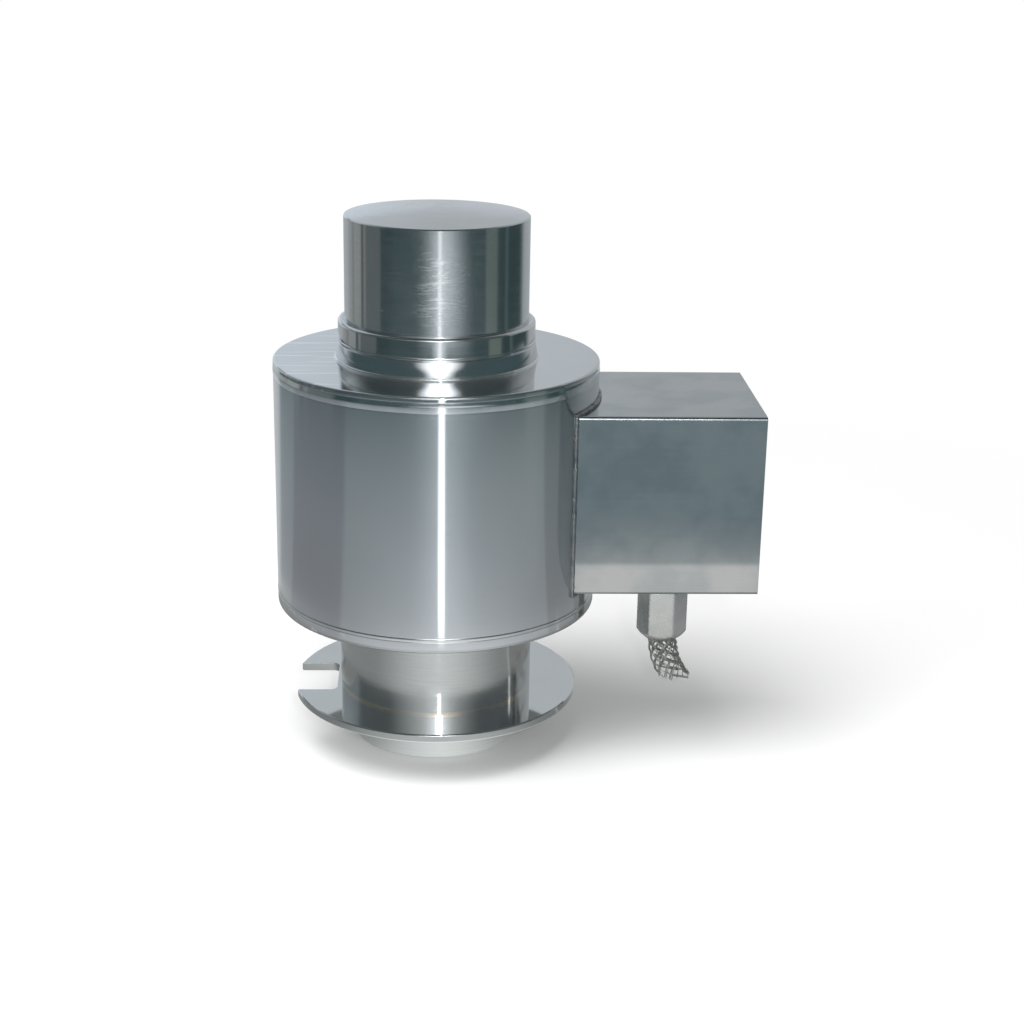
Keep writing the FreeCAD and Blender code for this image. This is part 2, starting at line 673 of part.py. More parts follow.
def build_fillet_weld(label, radius, level):
    """Fillet weld under a level, round a turned stem."""
    keep(turned(label, [
        (radius, total(level, "-weld_leg")),
        (total(radius, "weld_leg"), level),
        (radius, level),
    ]))


def build_plate():
    """Anti-rotation plate on the stub, with a slot opposite the electronics box."""
    body = doc.addObject("PartDesign::Body", "anti_rotation_plate")
    sketch = new_sketch(body, "plate_outline", "XY_Plane", PLATE_UNDER)
    draw_circle(sketch, ("0", "0"), total("plate_radius"))
    draw_circle(sketch, ("0", "0"), total(PLATE_SEAT, "fit_clearance"))
    pad(body, sketch, total("plate_thickness"))
    slot = new_sketch(body, "plate_slot", "XY_Plane", PLATE_TOP)
    half = "(Sizes.slot_width / 2)"
    mouth = "(0 - Sizes.plate_radius - Sizes.slot_corner)"
    floor = "(0 - Sizes.slot_floor)"
    turn = "(0 - Sizes.slot_floor - Sizes.slot_corner)"
    draw_profile(slot, [
        (mouth, "(0 - %s)" % half),
        (turn, "(0 - %s)" % half),
        (floor, "(Sizes.slot_corner - %s)" % half),
        (floor, "(%s - Sizes.slot_corner)" % half),
        (turn, half),
        (mouth, half),
    ], {1: (total("slot_corner"), 1), 3: (total("slot_corner"), 1)})
    pocket(body, slot)
    chamfer_rim(body, "plate_edge", total("plate_radius"))
    keep(body)


def build_box():
    """Welded electronics box: a square shell coped to the canister, and its end plate."""
    shell = doc.addObject("PartDesign::Body", "box_shell")
    low = (BOX_FRONT, BOX_UNDER)
    high = (BOX_BACK, BOX_TOP)
    outline = new_sketch(shell, "box_outline", "YZ_Plane")
    draw_rounded_rectangle(outline, low, high, total("box_bend"))
    pad(shell, outline, total("box_reach"))
    hollow = new_sketch(shell, "box_hollow", "YZ_Plane")
    inner_low = (total(BOX_FRONT, "box_wall"), BOX_FLOOR)
    inner_high = (BOX_BACK_INNER, total(BOX_TOP, "-box_wall"))
    draw_rectangle(hollow, inner_low, inner_high)
    pocket(shell, hollow, forward=True)
    cope = new_sketch(shell, "box_cope", "XY_Plane")
    draw_circle(cope, ("0", "0"), total("tube_radius", "box_gap"))
    pocket(shell, cope, forward=True)
    gland_hole = new_sketch(shell, "gland_hole", "XY_Plane", BOX_FLOOR)
    hole_radius = total("gland_thread_radius", "fit_clearance")
    draw_circle(gland_hole, (GLAND_X, "0"), hole_radius)
    pocket(shell, gland_hole)
    keep(shell)

    plate = doc.addObject("PartDesign::Body", "box_end_plate")
    seat = new_sketch(plate, "end_outline", "YZ_Plane", END_SEAT)
    end_low = [total(side, "end_clearance") for side in inner_low]
    end_high = [total(side, "-end_clearance") for side in inner_high]
    draw_rectangle(seat, end_low, end_high)
    pad(plate, seat, total("box_wall"))
    keep(plate)

    closing = doc.addObject("PartDesign::Body", "end_weld")
    bead = new_sketch(closing, "end_bead", "YZ_Plane", total(END_SEAT, "box_wall"))
    draw_rectangle(bead, inner_low, inner_high)
    bead_low = [total(side, "end_leg") for side in inner_low]
    bead_high = [total(side, "-end_leg") for side in inner_high]
    draw_rectangle(bead, bead_low, bead_high)
    pad(closing, bead, total("end_leg"))
    keep(closing)

    weld = doc.addObject("PartDesign::Body", "box_weld")
    frame = new_sketch(weld, "weld_frame", "YZ_Plane")
    outer_low = [total(side, "-bead_leg") for side in low]
    outer_high = [total(side, "bead_leg") for side in high]
    draw_rounded_rectangle(frame, outer_low, outer_high, total("box_bend", "bead_leg"))
    draw_rounded_rectangle(frame, low, high, total("box_bend"))
    pad(weld, frame, total("box_reach"))
    beyond = new_sketch(weld, "weld_face", "XY_Plane")
    reach = total("box_reach", "bead_leg")
    draw_rectangle(beyond, ("(0 - %s)" % reach, "(0 - %s)" % reach), (reach, reach))
    draw_circle(beyond, ("0", "0"), total("tube_radius", "bead_leg"))
    pocket(weld, beyond, forward=True)
    canister = new_sketch(weld, "weld_root", "XY_Plane")
    draw_circle(canister, ("0", "0"), total("tube_radius"))
    pocket(weld, canister, forward=True)
    keep(weld)


def build_feedthrough():
    """Insulating bush in the canister wall, and the bridge cable that runs through it."""
    axis = ("0", BOX_MIDDLE)
    radius = total("port_radius", "-fit_clearance")
    bush = rod("bush_blank", radius, total("bush_length"), (BUSH_START, *axis), ALONG_X)
    bore = total("bridge_cable_radius", "fit_clearance")
    hole = rod("bush_bore", bore, total("bush_length"), (BUSH_START, *axis), ALONG_X)
    keep(cut("feedthrough_bush", bush, hole))
    level = number(BOX_MIDDLE)
    x_start = number(total(BUSH_START, "-bridge_cable_straight", "-bridge_cable_bend"))
    x_end = number(HEADER_X)
    y_end = number(total(CIRCUIT_FACE, "-header_depth"))
    corners = [
        Vector(x_start, 0, number(BOARD_TOP)),
        Vector(x_start, 0, level),
        Vector(x_end, 0, level),
        Vector(x_end, y_end, level),
    ]
    path = rounded_path(corners, sheet.bridge_cable_bend)
    shaped("bridge_cable", [round_bar(path, sheet.bridge_cable_radius)])


def board_corners():
    """The four screw places of the circuit board, as expressions in X and Z."""
    xs = (total(CIRCUIT_INNER, "hole_inset"), total(CIRCUIT_OUTER, "-hole_inset"))
    zs = (total(CIRCUIT_LOW, "hole_inset"), total(CIRCUIT_HIGH, "-hole_inset"))
    return [(x, z) for x in xs for z in zs]


def rods_at_corners(name, radius, length, depth):
    """Rods along Y at the board's screw places, from a depth in Y."""
    places = enumerate(board_corners())
    return [rod("%s_%d" % (name, i), radius, length, (x, depth, z), ALONG_Y) for i, (x, z) in places]


def build_circuit():
    """Circuit board on four standoffs at the back of the box, with what is soldered to it."""
    thickness = total("board_thickness")
    sheet_size = (total("circuit_width"), thickness, total("circuit_height"))
    blank = block("circuit_blank", (CIRCUIT_INNER, CIRCUIT_FACE, CIRCUIT_LOW), sheet_size)
    clear = total("screw_radius", "fit_clearance")
    holes = joined("circuit_holes", rods_at_corners("circuit_hole", clear, thickness, CIRCUIT_FACE))
    keep(cut("circuit_board", blank, holes))

    length = total("standoff_length")
    outer = total("standoff_radius")
    posts = joined("standoff_posts", rods_at_corners("standoff_post", outer, length, CIRCUIT_BACK))
    bores = joined("standoff_bores", rods_at_corners("standoff_bore", clear, length, CIRCUIT_BACK))
    keep(cut("board_standoffs", posts, bores))

    shank = total("board_thickness", "screw_grip")
    pieces = rods_at_corners("screw_shank", total("screw_radius"), shank, CIRCUIT_FACE)
    head_start = total(CIRCUIT_FACE, "-screw_head_height")
    head = total("screw_head_height")
    pieces += rods_at_corners("screw_head", total("screw_head_radius"), head, head_start)
    keep(joined("board_screws", pieces))

    header_low = (
        total(HEADER_X, "-Sizes.header_width / 2"),
        total(CIRCUIT_FACE, "-header_depth"),
        total(BOX_MIDDLE, "-Sizes.header_height / 2"),
    )
    header_size = (total("header_width"), total("header_depth"), total("header_height"))
    components = [block("plug_header", header_low, header_size)]
    # Name, distances from the board's outer edge and middle height, width, thickness, height.
    chips = [
        ("processor", 19.0, 6.0, 10.0, 1.6, 10.0),
        ("converter", 28.0, 8.0, 5.0, 1.8, 7.0),
        ("regulator", 9.0, -2.0, 6.0, 2.2, 6.0),
        ("line_driver", 18.5, -3.5, 8.0, 1.6, 5.0),
        ("crystal", 7.5, 9.0, 4.5, 1.4, 2.5),
    ]
    for name, inset, rise, width, depth, height in chips:
        low = (
            "(%s - %s)" % (CIRCUIT_OUTER, inset),
            "(%s - %s)" % (CIRCUIT_FACE, depth),
            "(%s + %s)" % (BOX_MIDDLE, rise),
        )
        components.append(block(name, low, (str(width), str(depth), str(height))))
    capacitor_radius = 2.0
    capacitor_inset = 3.0
    capacitor_length = 5.5
    for index, rise in enumerate((-5.5, -10.5)):
        start = (
            "(%s - %s)" % (CIRCUIT_OUTER, capacitor_inset),
            "(%s - %s)" % (CIRCUIT_FACE, capacitor_length),
            "(%s + %s)" % (BOX_MIDDLE, rise),
        )
        name = "capacitor_%d" % index
        length = str(capacitor_length)
        components.append(rod(name, str(capacitor_radius), length, start, ALONG_Y))
    keep(joined("board_components", components))


def wire_offsets():
    """Places of the conductors across the gland's middle, in wire pitches."""
    return [index - (WIRE_COUNT - 1) / 2 for index in range(WIRE_COUNT)]


def build_terminal_block():
    """Terminal block with its wire entries, and the clamp screws in its top."""
    low = (total(GLAND_X, "-Sizes.block_width / 2"), BLOCK_FACE, BLOCK_LOW)
    size = (total("block_width"), total("block_depth"), total("block_height"))
    body = block("block_blank", low, size)
    entries = []
    wells = []
    screws = []
    clear = total("clamp_radius", "fit_clearance")
    middle = "(%s + Sizes.block_depth / 2)" % BLOCK_FACE
    well_floor = total(BLOCK_HIGH, "-clamp_depth")
    for index, offset in enumerate(wire_offsets()):
        x = "(%s + %s * Sizes.wire_pitch)" % (GLAND_X, offset)
        entry = (x, BLOCK_FACE, BLOCK_MIDDLE)
        bore = total("wire_radius", "fit_clearance")
        entries.append(rod("entry_%d" % index, bore, total("wire_entry"), entry, ALONG_Y))
        floor = (x, middle, well_floor)
        wells.append(rod("well_%d" % index, clear, total("clamp_depth"), floor))
        screws.append(rod("clamp_%d" % index, total("clamp_radius"), total("clamp_depth"), floor))
    keep(cut("terminal_block", body, joined("block_holes", entries + wells)))
    keep(joined("terminal_screws", screws))


def hexagon(name, radius, height, level):
    """Hexagonal prism on the gland's axis."""
    feature = doc.addObject("Part::Prism", name)
    feature.Polygon = 6
    feature.setExpression("Circumradius", radius)
    feature.setExpression("Height", height)
    return place_at(feature, GLAND_X, "0", level, Rotation(Vector(0, 0, 1), -sheet.gland_turn))


def gland_rod(name, radius, low, high):
    """Cylinder on the gland's axis between two heights."""
    start = (GLAND_X, "0", low)
    return rod(name, radius, "(%s - %s)" % (high, low), start)


def build_gland():
    """Cable gland under the box: washer, body, locknut, seal and nut."""
    collar_top = total(BOX_UNDER, "-washer_thickness")
    collar_low = total(collar_top, "-gland_collar_height")
    thread_low = total(collar_low, "-gland_thread_length")
    locknut_top = total(BOX_FLOOR, "locknut_height")
    seal_low = total(thread_low, "-seal_height")
    cone_top = total(collar_low, "-nut_length")
    mouth = total(cone_top, "-nut_cone_height")
    clear = total("gland_thread_radius", "fit_clearance")

    disc = gland_rod("washer_disc", total("washer_radius"), collar_top, BOX_UNDER)
    keep(cut("gland_washer", disc, gland_rod("washer_hole", clear, collar_top, BOX_UNDER)))

    pieces = [
        gland_rod("gland_upper_thread", total("gland_thread_radius"), collar_low, locknut_top),
        hexagon("gland_hexagon", total("gland_radius"), total("gland_collar_height"), collar_low),
        gland_rod("gland_lower_thread", total("gland_lower_thread"), thread_low, collar_low),
    ]
    solid = joined("gland_solid", pieces)
    bore = gland_rod("gland_bore", total("gland_bore"), thread_low, locknut_top)
    keep(cut("gland_body", solid, bore))

    nut = hexagon("locknut_blank", total("locknut_radius"), total("locknut_height"), BOX_FLOOR)
    keep(cut("gland_locknut", nut, gland_rod("locknut_hole", clear, BOX_FLOOR, locknut_top)))

    ring = gland_rod("seal_ring", total("gland_lower_thread"), seal_low, thread_low)
    hole = gland_rod("seal_hole", total("core_radius", "fit_clearance"), seal_low, thread_low)
    keep(cut("gland_seal", ring, hole))

    body = doc.addObject("PartDesign::Body", "gland_nut")
    place_at(body, GLAND_X, "0", "0", Rotation(Vector(0, 0, 1), -sheet.gland_turn))
    sketch = new_sketch(body, "gland_nut_profile", "XZ_Plane")
    thread = total("gland_lower_thread", "fit_clearance")
    draw_profile(sketch, [
        (total("nut_mouth_radius"), mouth),
        (total("nut_mouth_radius", "nut_lip"), mouth),
        (total("gland_radius"), cone_top),
        (total("gland_radius"), collar_low),
        (thread, collar_low),
        (thread, seal_low),
        (total("nut_mouth_radius"), seal_low),
    ])
    feature = body.newObject("PartDesign::Revolution", "gland_nut_turning")
    feature.Profile = sketch
    feature.ReferenceAxis = (sketch, ["V_Axis"])
    feature.Angle = 360
    doc.recompute()
    corner = total("gland_radius")
    half = "(%s / 2)" % corner
    flat = "(%s * sqrt(3) / 2)" % corner
    spanner = new_sketch(body, "nut_flats", "XY_Plane")
    draw_profile(spanner, [
        (corner, "0"),
        (half, flat),
        ("-" + half, flat),
        ("-" + corner, "0"),
        ("-" + half, "-" + flat),
        (half, "-" + flat),
    ])
    draw_circle(spanner, ("0", "0"), total("washer_radius"))
    pocket(body, spanner, forward=True)
    keep(body)
    build_cable(seal_low, locknut_top, mouth)


def build_cable(seal_low, locknut_top, mouth):
    """Inner cable up to the terminal block, and the torn braided sleeve below the gland."""
    core_top = total(locknut_top, "core_rise")
    core_low = total(seal_low, "-core_stub")
    keep(gland_rod("cable_core", total("core_radius"), core_low, core_top))

    level = number(BLOCK_MIDDLE)
    start_level = number(core_top)
    entry = number(total(BLOCK_FACE, "wire_entry"))
    crowding = 2 * (sheet.core_radius - sheet.wire_radius - sheet.fit_clearance) / (WIRE_COUNT - 1)
    wires = []
    for offset in wire_offsets():
        near = number(GLAND_X) + offset * crowding
        far = number(GLAND_X) + offset * sheet.wire_pitch
        corners = [
            Vector(near, 0, start_level),
            Vector(near, 0, start_level + sheet.wire_bend),
            Vector(far, 0, level),
            Vector(far, entry, level),
        ]
        path = rounded_path(corners, sheet.wire_bend)
        wires.append(round_bar(path, sheet.wire_radius))
    shaped("cable_conductors", wires)

    top = Vector(number(GLAND_X), 0, number(seal_low))
    bend_start = Vector(number(GLAND_X), 0, number(mouth))
    centre = bend_start + Vector(sheet.braid_bend, 0, 0)
    drop = bend_start.z - sheet.braid_end_level + sheet.braid_radius
    turn = math.asin(drop / sheet.braid_bend)

    def on_bend(angle):
        return centre + Vector(-math.cos(angle), 0, -math.sin(angle)) * sheet.braid_bend

    path = Part.Wire([
        Part.LineSegment(top, bend_start).toShape(),
        Part.Arc(bend_start, on_bend(turn / 2), on_bend(turn)).toShape(),
    ])
    sleeve = round_bar(path, sheet.braid_radius)
    sleeve = sleeve.cut(round_bar(path, sheet.braid_radius - sheet.braid_wall))
    reach = 2 * sheet.braid_bend
    corner = Vector(number(GLAND_X) - reach / 2, -reach / 2, sheet.braid_end_level - reach)
    below = Part.makeBox(reach, reach, reach, corner)
    sleeve = sleeve.cut(below)
    shaped("braid_sleeve", [max(sleeve.Solids, key=lambda solid: solid.Volume)])
    print("braid bend radius", sheet.braid_bend, "conductor bend radius", sheet.wire_bend)


build_column()
build_gauges()
build_gauge_leads()
build_bridge_board()
build_canister()
build_plate()
build_box()
build_feedthrough()
build_circuit()
build_terminal_block()
build_gland()
doc.recompute()

for item in doc.Objects:
    if "Invalid" in item.State or "Error" in item.State:
        raise RuntimeError("%s failed: %s" % (item.Name, item.State))
for part in sub_parts:
    if part.Shape.isNull() or not part.Shape.isValid() or not part.Shape.Solids:
        raise RuntimeError("%s has no valid solid" % part.Label)
for part in sub_parts:
    part.Shape.exportStep("parts/%s.step" % part.Label)
    print(part.Label, "solids", len(part.Shape.Solids), "volume", round(part.Shape.Volume, 2))
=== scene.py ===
"""Looks of a stainless column load cell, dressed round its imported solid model."""

from __future__ import annotations

import json
import logging
import math
from dataclasses import dataclass, field
from enum import Enum

import bpy
from mathutils import Matrix, Vector

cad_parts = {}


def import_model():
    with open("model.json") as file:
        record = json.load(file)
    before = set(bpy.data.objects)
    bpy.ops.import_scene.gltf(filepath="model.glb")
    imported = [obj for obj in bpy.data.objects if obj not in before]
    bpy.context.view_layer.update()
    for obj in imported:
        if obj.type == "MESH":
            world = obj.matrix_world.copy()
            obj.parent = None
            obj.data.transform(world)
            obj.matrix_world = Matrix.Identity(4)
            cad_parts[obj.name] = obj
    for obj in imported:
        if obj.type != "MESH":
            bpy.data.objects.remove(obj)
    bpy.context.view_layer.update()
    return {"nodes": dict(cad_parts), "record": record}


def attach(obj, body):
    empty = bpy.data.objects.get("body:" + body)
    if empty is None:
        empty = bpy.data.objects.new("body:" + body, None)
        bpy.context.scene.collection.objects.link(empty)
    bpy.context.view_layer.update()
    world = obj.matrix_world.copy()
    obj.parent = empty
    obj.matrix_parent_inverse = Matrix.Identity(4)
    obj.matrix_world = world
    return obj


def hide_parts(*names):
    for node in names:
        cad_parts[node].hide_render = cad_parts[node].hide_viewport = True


log = logging.getLogger("load_cell")
MM = 0.001
FULL_TURN = 2 * math.pi
QUARTER_TURN = 0.25  # as a share of a turn
NOISE_MEAN = 0.5
BEVEL_SAMPLES = 6
WHITE = (1.0, 1.0, 1.0, 1.0)
Colour = tuple[float, float, float]
Place = tuple[float, float, float]
Bell = tuple[float, float, float]  # centre, core and reach
Band = tuple[float, float, float]  # low end, high end and softness
Step = tuple[float, ...]  # low end and high end, then the results there where they aren't 0 and 1
Stops = tuple[tuple[float, Colour], ...]  # places on a colour ramp and the colours there


class Blend(Enum):
    """Ways to put one colour on another."""

    OVER = "MIX"
    SHADE = "MULTIPLY"


def add_object(name: str, data: bpy.types.ID) -> bpy.types.Object:
    """A new object in the scene with this mesh, curve, lamp or camera."""
    item = bpy.data.objects.new(name, data)
    bpy.context.scene.collection.objects.link(item)
    return item


class Signal:
    """One output of a node, with Python's operators as Math nodes."""

    def __init__(self, bench: Bench, socket: bpy.types.NodeSocket) -> None:
        """Keeps the output and the tree that it is in."""
        self.bench = bench
        self.socket = socket

    def math(self, operation: str, *others: Signal | float) -> Signal:
        """A Math node on this signal and the others, in their order."""
        return self.bench.math(operation, self, *others)

    def __add__(self, other: Signal | float) -> Signal:
        """self + other."""
        return self.math("ADD", other)

    __radd__ = __add__

    def __sub__(self, other: Signal | float) -> Signal:
        """self - other."""
        return self.math("SUBTRACT", other)

    def __rsub__(self, other: float) -> Signal:
        """other - self."""
        return self.bench.math("SUBTRACT", other, self)

    def __mul__(self, other: Signal | float) -> Signal:
        """self * other."""
        return self.math("MULTIPLY", other)

    __rmul__ = __mul__

    def __truediv__(self, other: Signal | float) -> Signal:
        """self / other."""
        return self.math("DIVIDE", other)

    def __rtruediv__(self, other: float) -> Signal:
        """other / self."""
        return self.bench.math("DIVIDE", other, self)

    def __pow__(self, other: float) -> Signal:
        """self ** other."""
        return self.math("POWER", other)

    def __neg__(self) -> Signal:
        """-self."""
        return self.math("MULTIPLY", -1.0)

    def __abs__(self) -> Signal:
        """Size of self without its sign."""
        return self.math("ABSOLUTE")


class Bench:
    """A node tree in the making: adds nodes, feeds their sockets, reads their outputs."""

    def __init__(self, tree: bpy.types.NodeTree) -> None:
        """Takes an empty node tree."""
        self.tree = tree

    def feed(self, slot: bpy.types.NodeSocket, value: object) -> None:
        """Links a signal to an input, or sets a plain value on it.

        Args:
            slot: the input.
            value: the signal or the value.
        """
        if isinstance(value, Signal):
            self.tree.links.new(value.socket, slot)
        else:
            slot.default_value = value

    def node(self, kind: str, sockets: dict | None = None, **settings: object) -> bpy.types.Node:
        """Adds one node.

        Args:
            kind: the node's type.
            sockets: values or signals by the input's name or number.
            settings: its properties, set first; stops are those of its colour ramp.

        Returns:
            The node.
        """
        node = self.tree.nodes.new(kind)
        for name, value in settings.items():
            if name == "stops":
                self.stops(node.color_ramp.elements, value)
            else:
                setattr(node, name, value)
        for name, value in (sockets or {}).items():
            self.feed(node.inputs[name], value)
        return node

    def stops(self, elements: bpy.types.ColorRampElements, stops: Stops) -> None:
        """Sets the stops of a colour ramp that has its two first ones.

        Args:
            elements: the ramp's elements.
            stops: two or more, in rising order.
        """
        for element, (place, colour) in ((elements[1], stops[-1]), (elements[0], stops[0])):
            element.position = place
            element.color = (*colour, 1.0)
        for place, colour in stops[1:-1]:
            elements.new(place).color = (*colour, 1.0)

    def out(self, node: bpy.types.Node, output: str | int = 0) -> Signal:
        """An output of a node as a signal."""
        return Signal(self, node.outputs[output])

    def chain(
        self, kind: str, sockets: dict | None = None, output: str | int = 0, **settings: object
    ) -> Signal:
        """Adds a node and gives one of its outputs as a signal."""
        return self.out(self.node(kind, sockets, **settings), output)

    def math(self, operation: str, *operands: Signal | float) -> Signal:
        """A Math node on these operands, in their order."""
        return self.chain("ShaderNodeMath", dict(enumerate(operands)), operation=operation)

    def vector(self, operation: str, sockets: dict, output: str | int = 0) -> Signal:
        """A Vector Math node on these inputs."""
        return self.chain("ShaderNodeVectorMath", sockets, operation=operation, output=output)

    def ramp(self, value: Signal, low: float, high: float, start: float = 0.0, end: float = 1.0) -> Signal:
        """Smooth step of a value.

        Args:
            value: the value.
            low: where the step starts.
            high: where it ends.
            start: result below low.
            end: result above high.

        Returns:
            The stepped value.
        """
        sockets = {0: value, 1: low, 2: high, 3: start, 4: end}
        return self.chain("ShaderNodeMapRange", sockets, interpolation_type="SMOOTHSTEP")

    def bell(self, value: Signal, centre: float, core: float, reach: float) -> Signal:
        """1 within core of the centre, smoothly down to 0 at reach from it."""
        return self.ramp(abs(value - centre), core, reach, 1.0, 0.0)

    def between(self, value: Signal, low: float, high: float, soft: float) -> Signal:
        """1 between low and high, 0 outside, with edges twice soft wide."""
        rise = self.ramp(value, low - soft, low + soft)
        return rise * self.ramp(value, high - soft, high + soft, 1.0, 0.0)

    def mix(
        self, factor: Signal, first: Signal | Colour, second: Signal | Colour, blend: Blend = Blend.OVER
    ) -> Signal:
        """Mixes two colours, each a signal or a plain colour.

        Args:
            factor: share of the second.
            first: the colour below.
            second: the colour above.
            blend: how they are put together.

        Returns:
            The mixed colour.
        """
        colours = [c if isinstance(c, Signal) else (*c, 1.0) for c in (first, second)]
        sockets = {0: factor, 6: colours[0], 7: colours[1]}
        return self.chain("ShaderNodeMix", sockets, 2, data_type="RGBA", blend_type=blend.value)


class Paint(Bench):
    """The node tree of a new material, with the place on the piece, in the model's coordinates, as spot."""

    def __init__(self, name: str) -> None:
        """Starts a material with an empty tree.

        Args:
            name: the material's name.
        """
        self.material = bpy.data.materials.new(name)
        self.material.use_nodes = True
        self.material.node_tree.nodes.clear()
        super().__init__(self.material.node_tree)
        self.spot = self.chain("ShaderNodeTexCoord", output="Object")

    def axes(self) -> tuple[Signal, Signal, Signal]:
        """X, Y and Z of the place."""
        apart = self.node("ShaderNodeSeparateXYZ", {0: self.spot})
        return self.out(apart, 0), self.out(apart, 1), self.out(apart, 2)

    def noise(self, size: float, detail: float = 3.0, stretch: Place | None = None) -> Signal:
        """Noise over the piece.

        Args:
            size: size of its lumps in metres.
            detail: how fine it goes.
            stretch: scale along the axes; the lumps are drawn out along the small ones.

        Returns:
            The noise, about 0.5.
        """
        spot = self.spot
        if stretch:
            spot = self.chain("ShaderNodeMapping", {0: spot, "Scale": stretch})
        sockets = {"Vector": spot, "Scale": 1 / size, "Detail": detail}
        return self.chain("ShaderNodeTexNoise", sockets)

    def glow(self, colour: Signal | tuple[float, ...]) -> Signal:
        """A surface that gives this light."""
        return self.chain("ShaderNodeEmission", {"Color": colour, "Strength": 1.0})

    def blend(self, share: Signal | float, first: Signal, second: Signal) -> Signal:
        """Two surfaces in one, with this share of the second."""
        return self.chain("ShaderNodeMixShader", {0: share, 1: first, 2: second})

    def close(self, surface: Signal) -> bpy.types.Material:
        """Joins a surface to the material's output."""
        self.node("ShaderNodeOutputMaterial", {"Surface": surface})
        return self.material


@dataclass(frozen=True)
class Finish:
    """A material of this part: sizes in metres, the rest as shares; no edge or haze where it is 0."""

    name: str
    wearers: tuple[str, ...]
    colour: Colour
    dark: Colour
    roughness: float
    metallic: float = 1.0
    spread: float = 0.04
    ring_spread: float = 0.04
    anisotropic: float = 0.0
    coat: float = 0.0
    line_pitch: float = 1 * MM
    line_depth: float = 0.0
    line_tone: float = 0.3
    blotch: float = 20 * MM
    cloud: float = 0.3
    bump: float = 0.0
    haze: float = 0.0
    haze_roughness: float = 0.3
    haze_lines: float = 0.0
    edge: float = 0.0
    wear: float = 1.0
    least_wear: float = 0.35
    edge_bend: Step = (0.90, 0.995, 1.0, 0.0)
    wear_size: float = 3 * MM
    wear_share: Step = (0.25, 0.65)
    worn_colour: Colour = (0.74, 0.75, 0.76)
    worn_roughness: float = 0.06

    def make(self) -> bpy.types.Material:
        """Builds the material: blotches, machining lines, worn edges and a haze.

        Returns:
            The material.
        """
        paint = Paint(self.name)
        cloud = paint.noise(self.blotch)
        lines = self.lines(paint)
        share = cloud * (1 - self.line_tone) + lines * self.line_tone
        share = paint.ramp(share, NOISE_MEAN - self.cloud, NOISE_MEAN + self.cloud)
        colour = self.tint(paint, share)
        rough = self.roughness + (cloud - NOISE_MEAN) * (2 * self.spread)
        rough = rough + (lines - NOISE_MEAN) * (2 * self.ring_spread)
        height = lines * self.line_depth + cloud * self.bump
        sockets = {"Strength": 1.0, "Distance": 1.0, "Height": height}
        if self.edge:
            rounded, worn = self.edges(paint)
            colour = paint.mix(worn, colour, self.worn_colour)
            rough = rough + worn * self.worn_roughness
            sockets["Normal"] = rounded
        normal = paint.chain("ShaderNodeBump", sockets)
        sockets = {
            "Base Color": colour,
            "Metallic": self.metallic,
            "Roughness": rough,
            "Anisotropic": self.anisotropic,
            "Anisotropic Rotation": QUARTER_TURN,
            "Coat Weight": self.coat,
            "Normal": normal,
        }
        surface = paint.chain("ShaderNodeBsdfPrincipled", sockets)
        if self.haze:
            sockets |= {"Roughness": rough + (self.haze_roughness - self.roughness), "Anisotropic": 0.0}
            hazy = paint.chain("ShaderNodeBsdfPrincipled", sockets)
            haze = self.haze + (lines - NOISE_MEAN) * self.haze_lines if self.haze_lines else self.haze
            surface = paint.blend(haze, surface, hazy)
        return paint.close(surface)

    def edges(self, paint: Paint) -> tuple[Signal, Signal]:
        """Rounds the edges for the light and finds where they are worn.

        Args:
            paint: the material in the making.

        Returns:
            The rounded normal and the share of worn metal.
        """
        rounded = paint.chain("ShaderNodeBevel", {"Radius": self.edge}, samples=BEVEL_SAMPLES)
        flat = paint.chain("ShaderNodeNewGeometry", output="True Normal")
        worn = paint.ramp(paint.vector("DOT_PRODUCT", {0: rounded, 1: flat}, 1), *self.edge_bend)
        patches = paint.noise(self.wear_size)
        patches = paint.ramp(patches, *self.wear_share, self.least_wear * self.wear, self.wear)
        return rounded, worn * patches

    def lines(self, paint: Paint) -> Signal:
        """Machining lines: rings round the column axis on walls and faces alike.

        Args:
            paint: the material in the making.

        Returns:
            The lines as a height from 0 to 1.
        """
        x, y, z = paint.axes()
        sockets = {"W": (around(x, y) + z) / self.line_pitch, "Scale": 1.0, "Detail": 4.0, "Roughness": 0.7}
        return paint.chain("ShaderNodeTexNoise", sockets, noise_dimensions="1D")

    def tint(self, paint: Paint, share: Signal) -> Signal:
        """Colour between the finish's two tones."""
        return paint.mix(share, self.dark, self.colour)


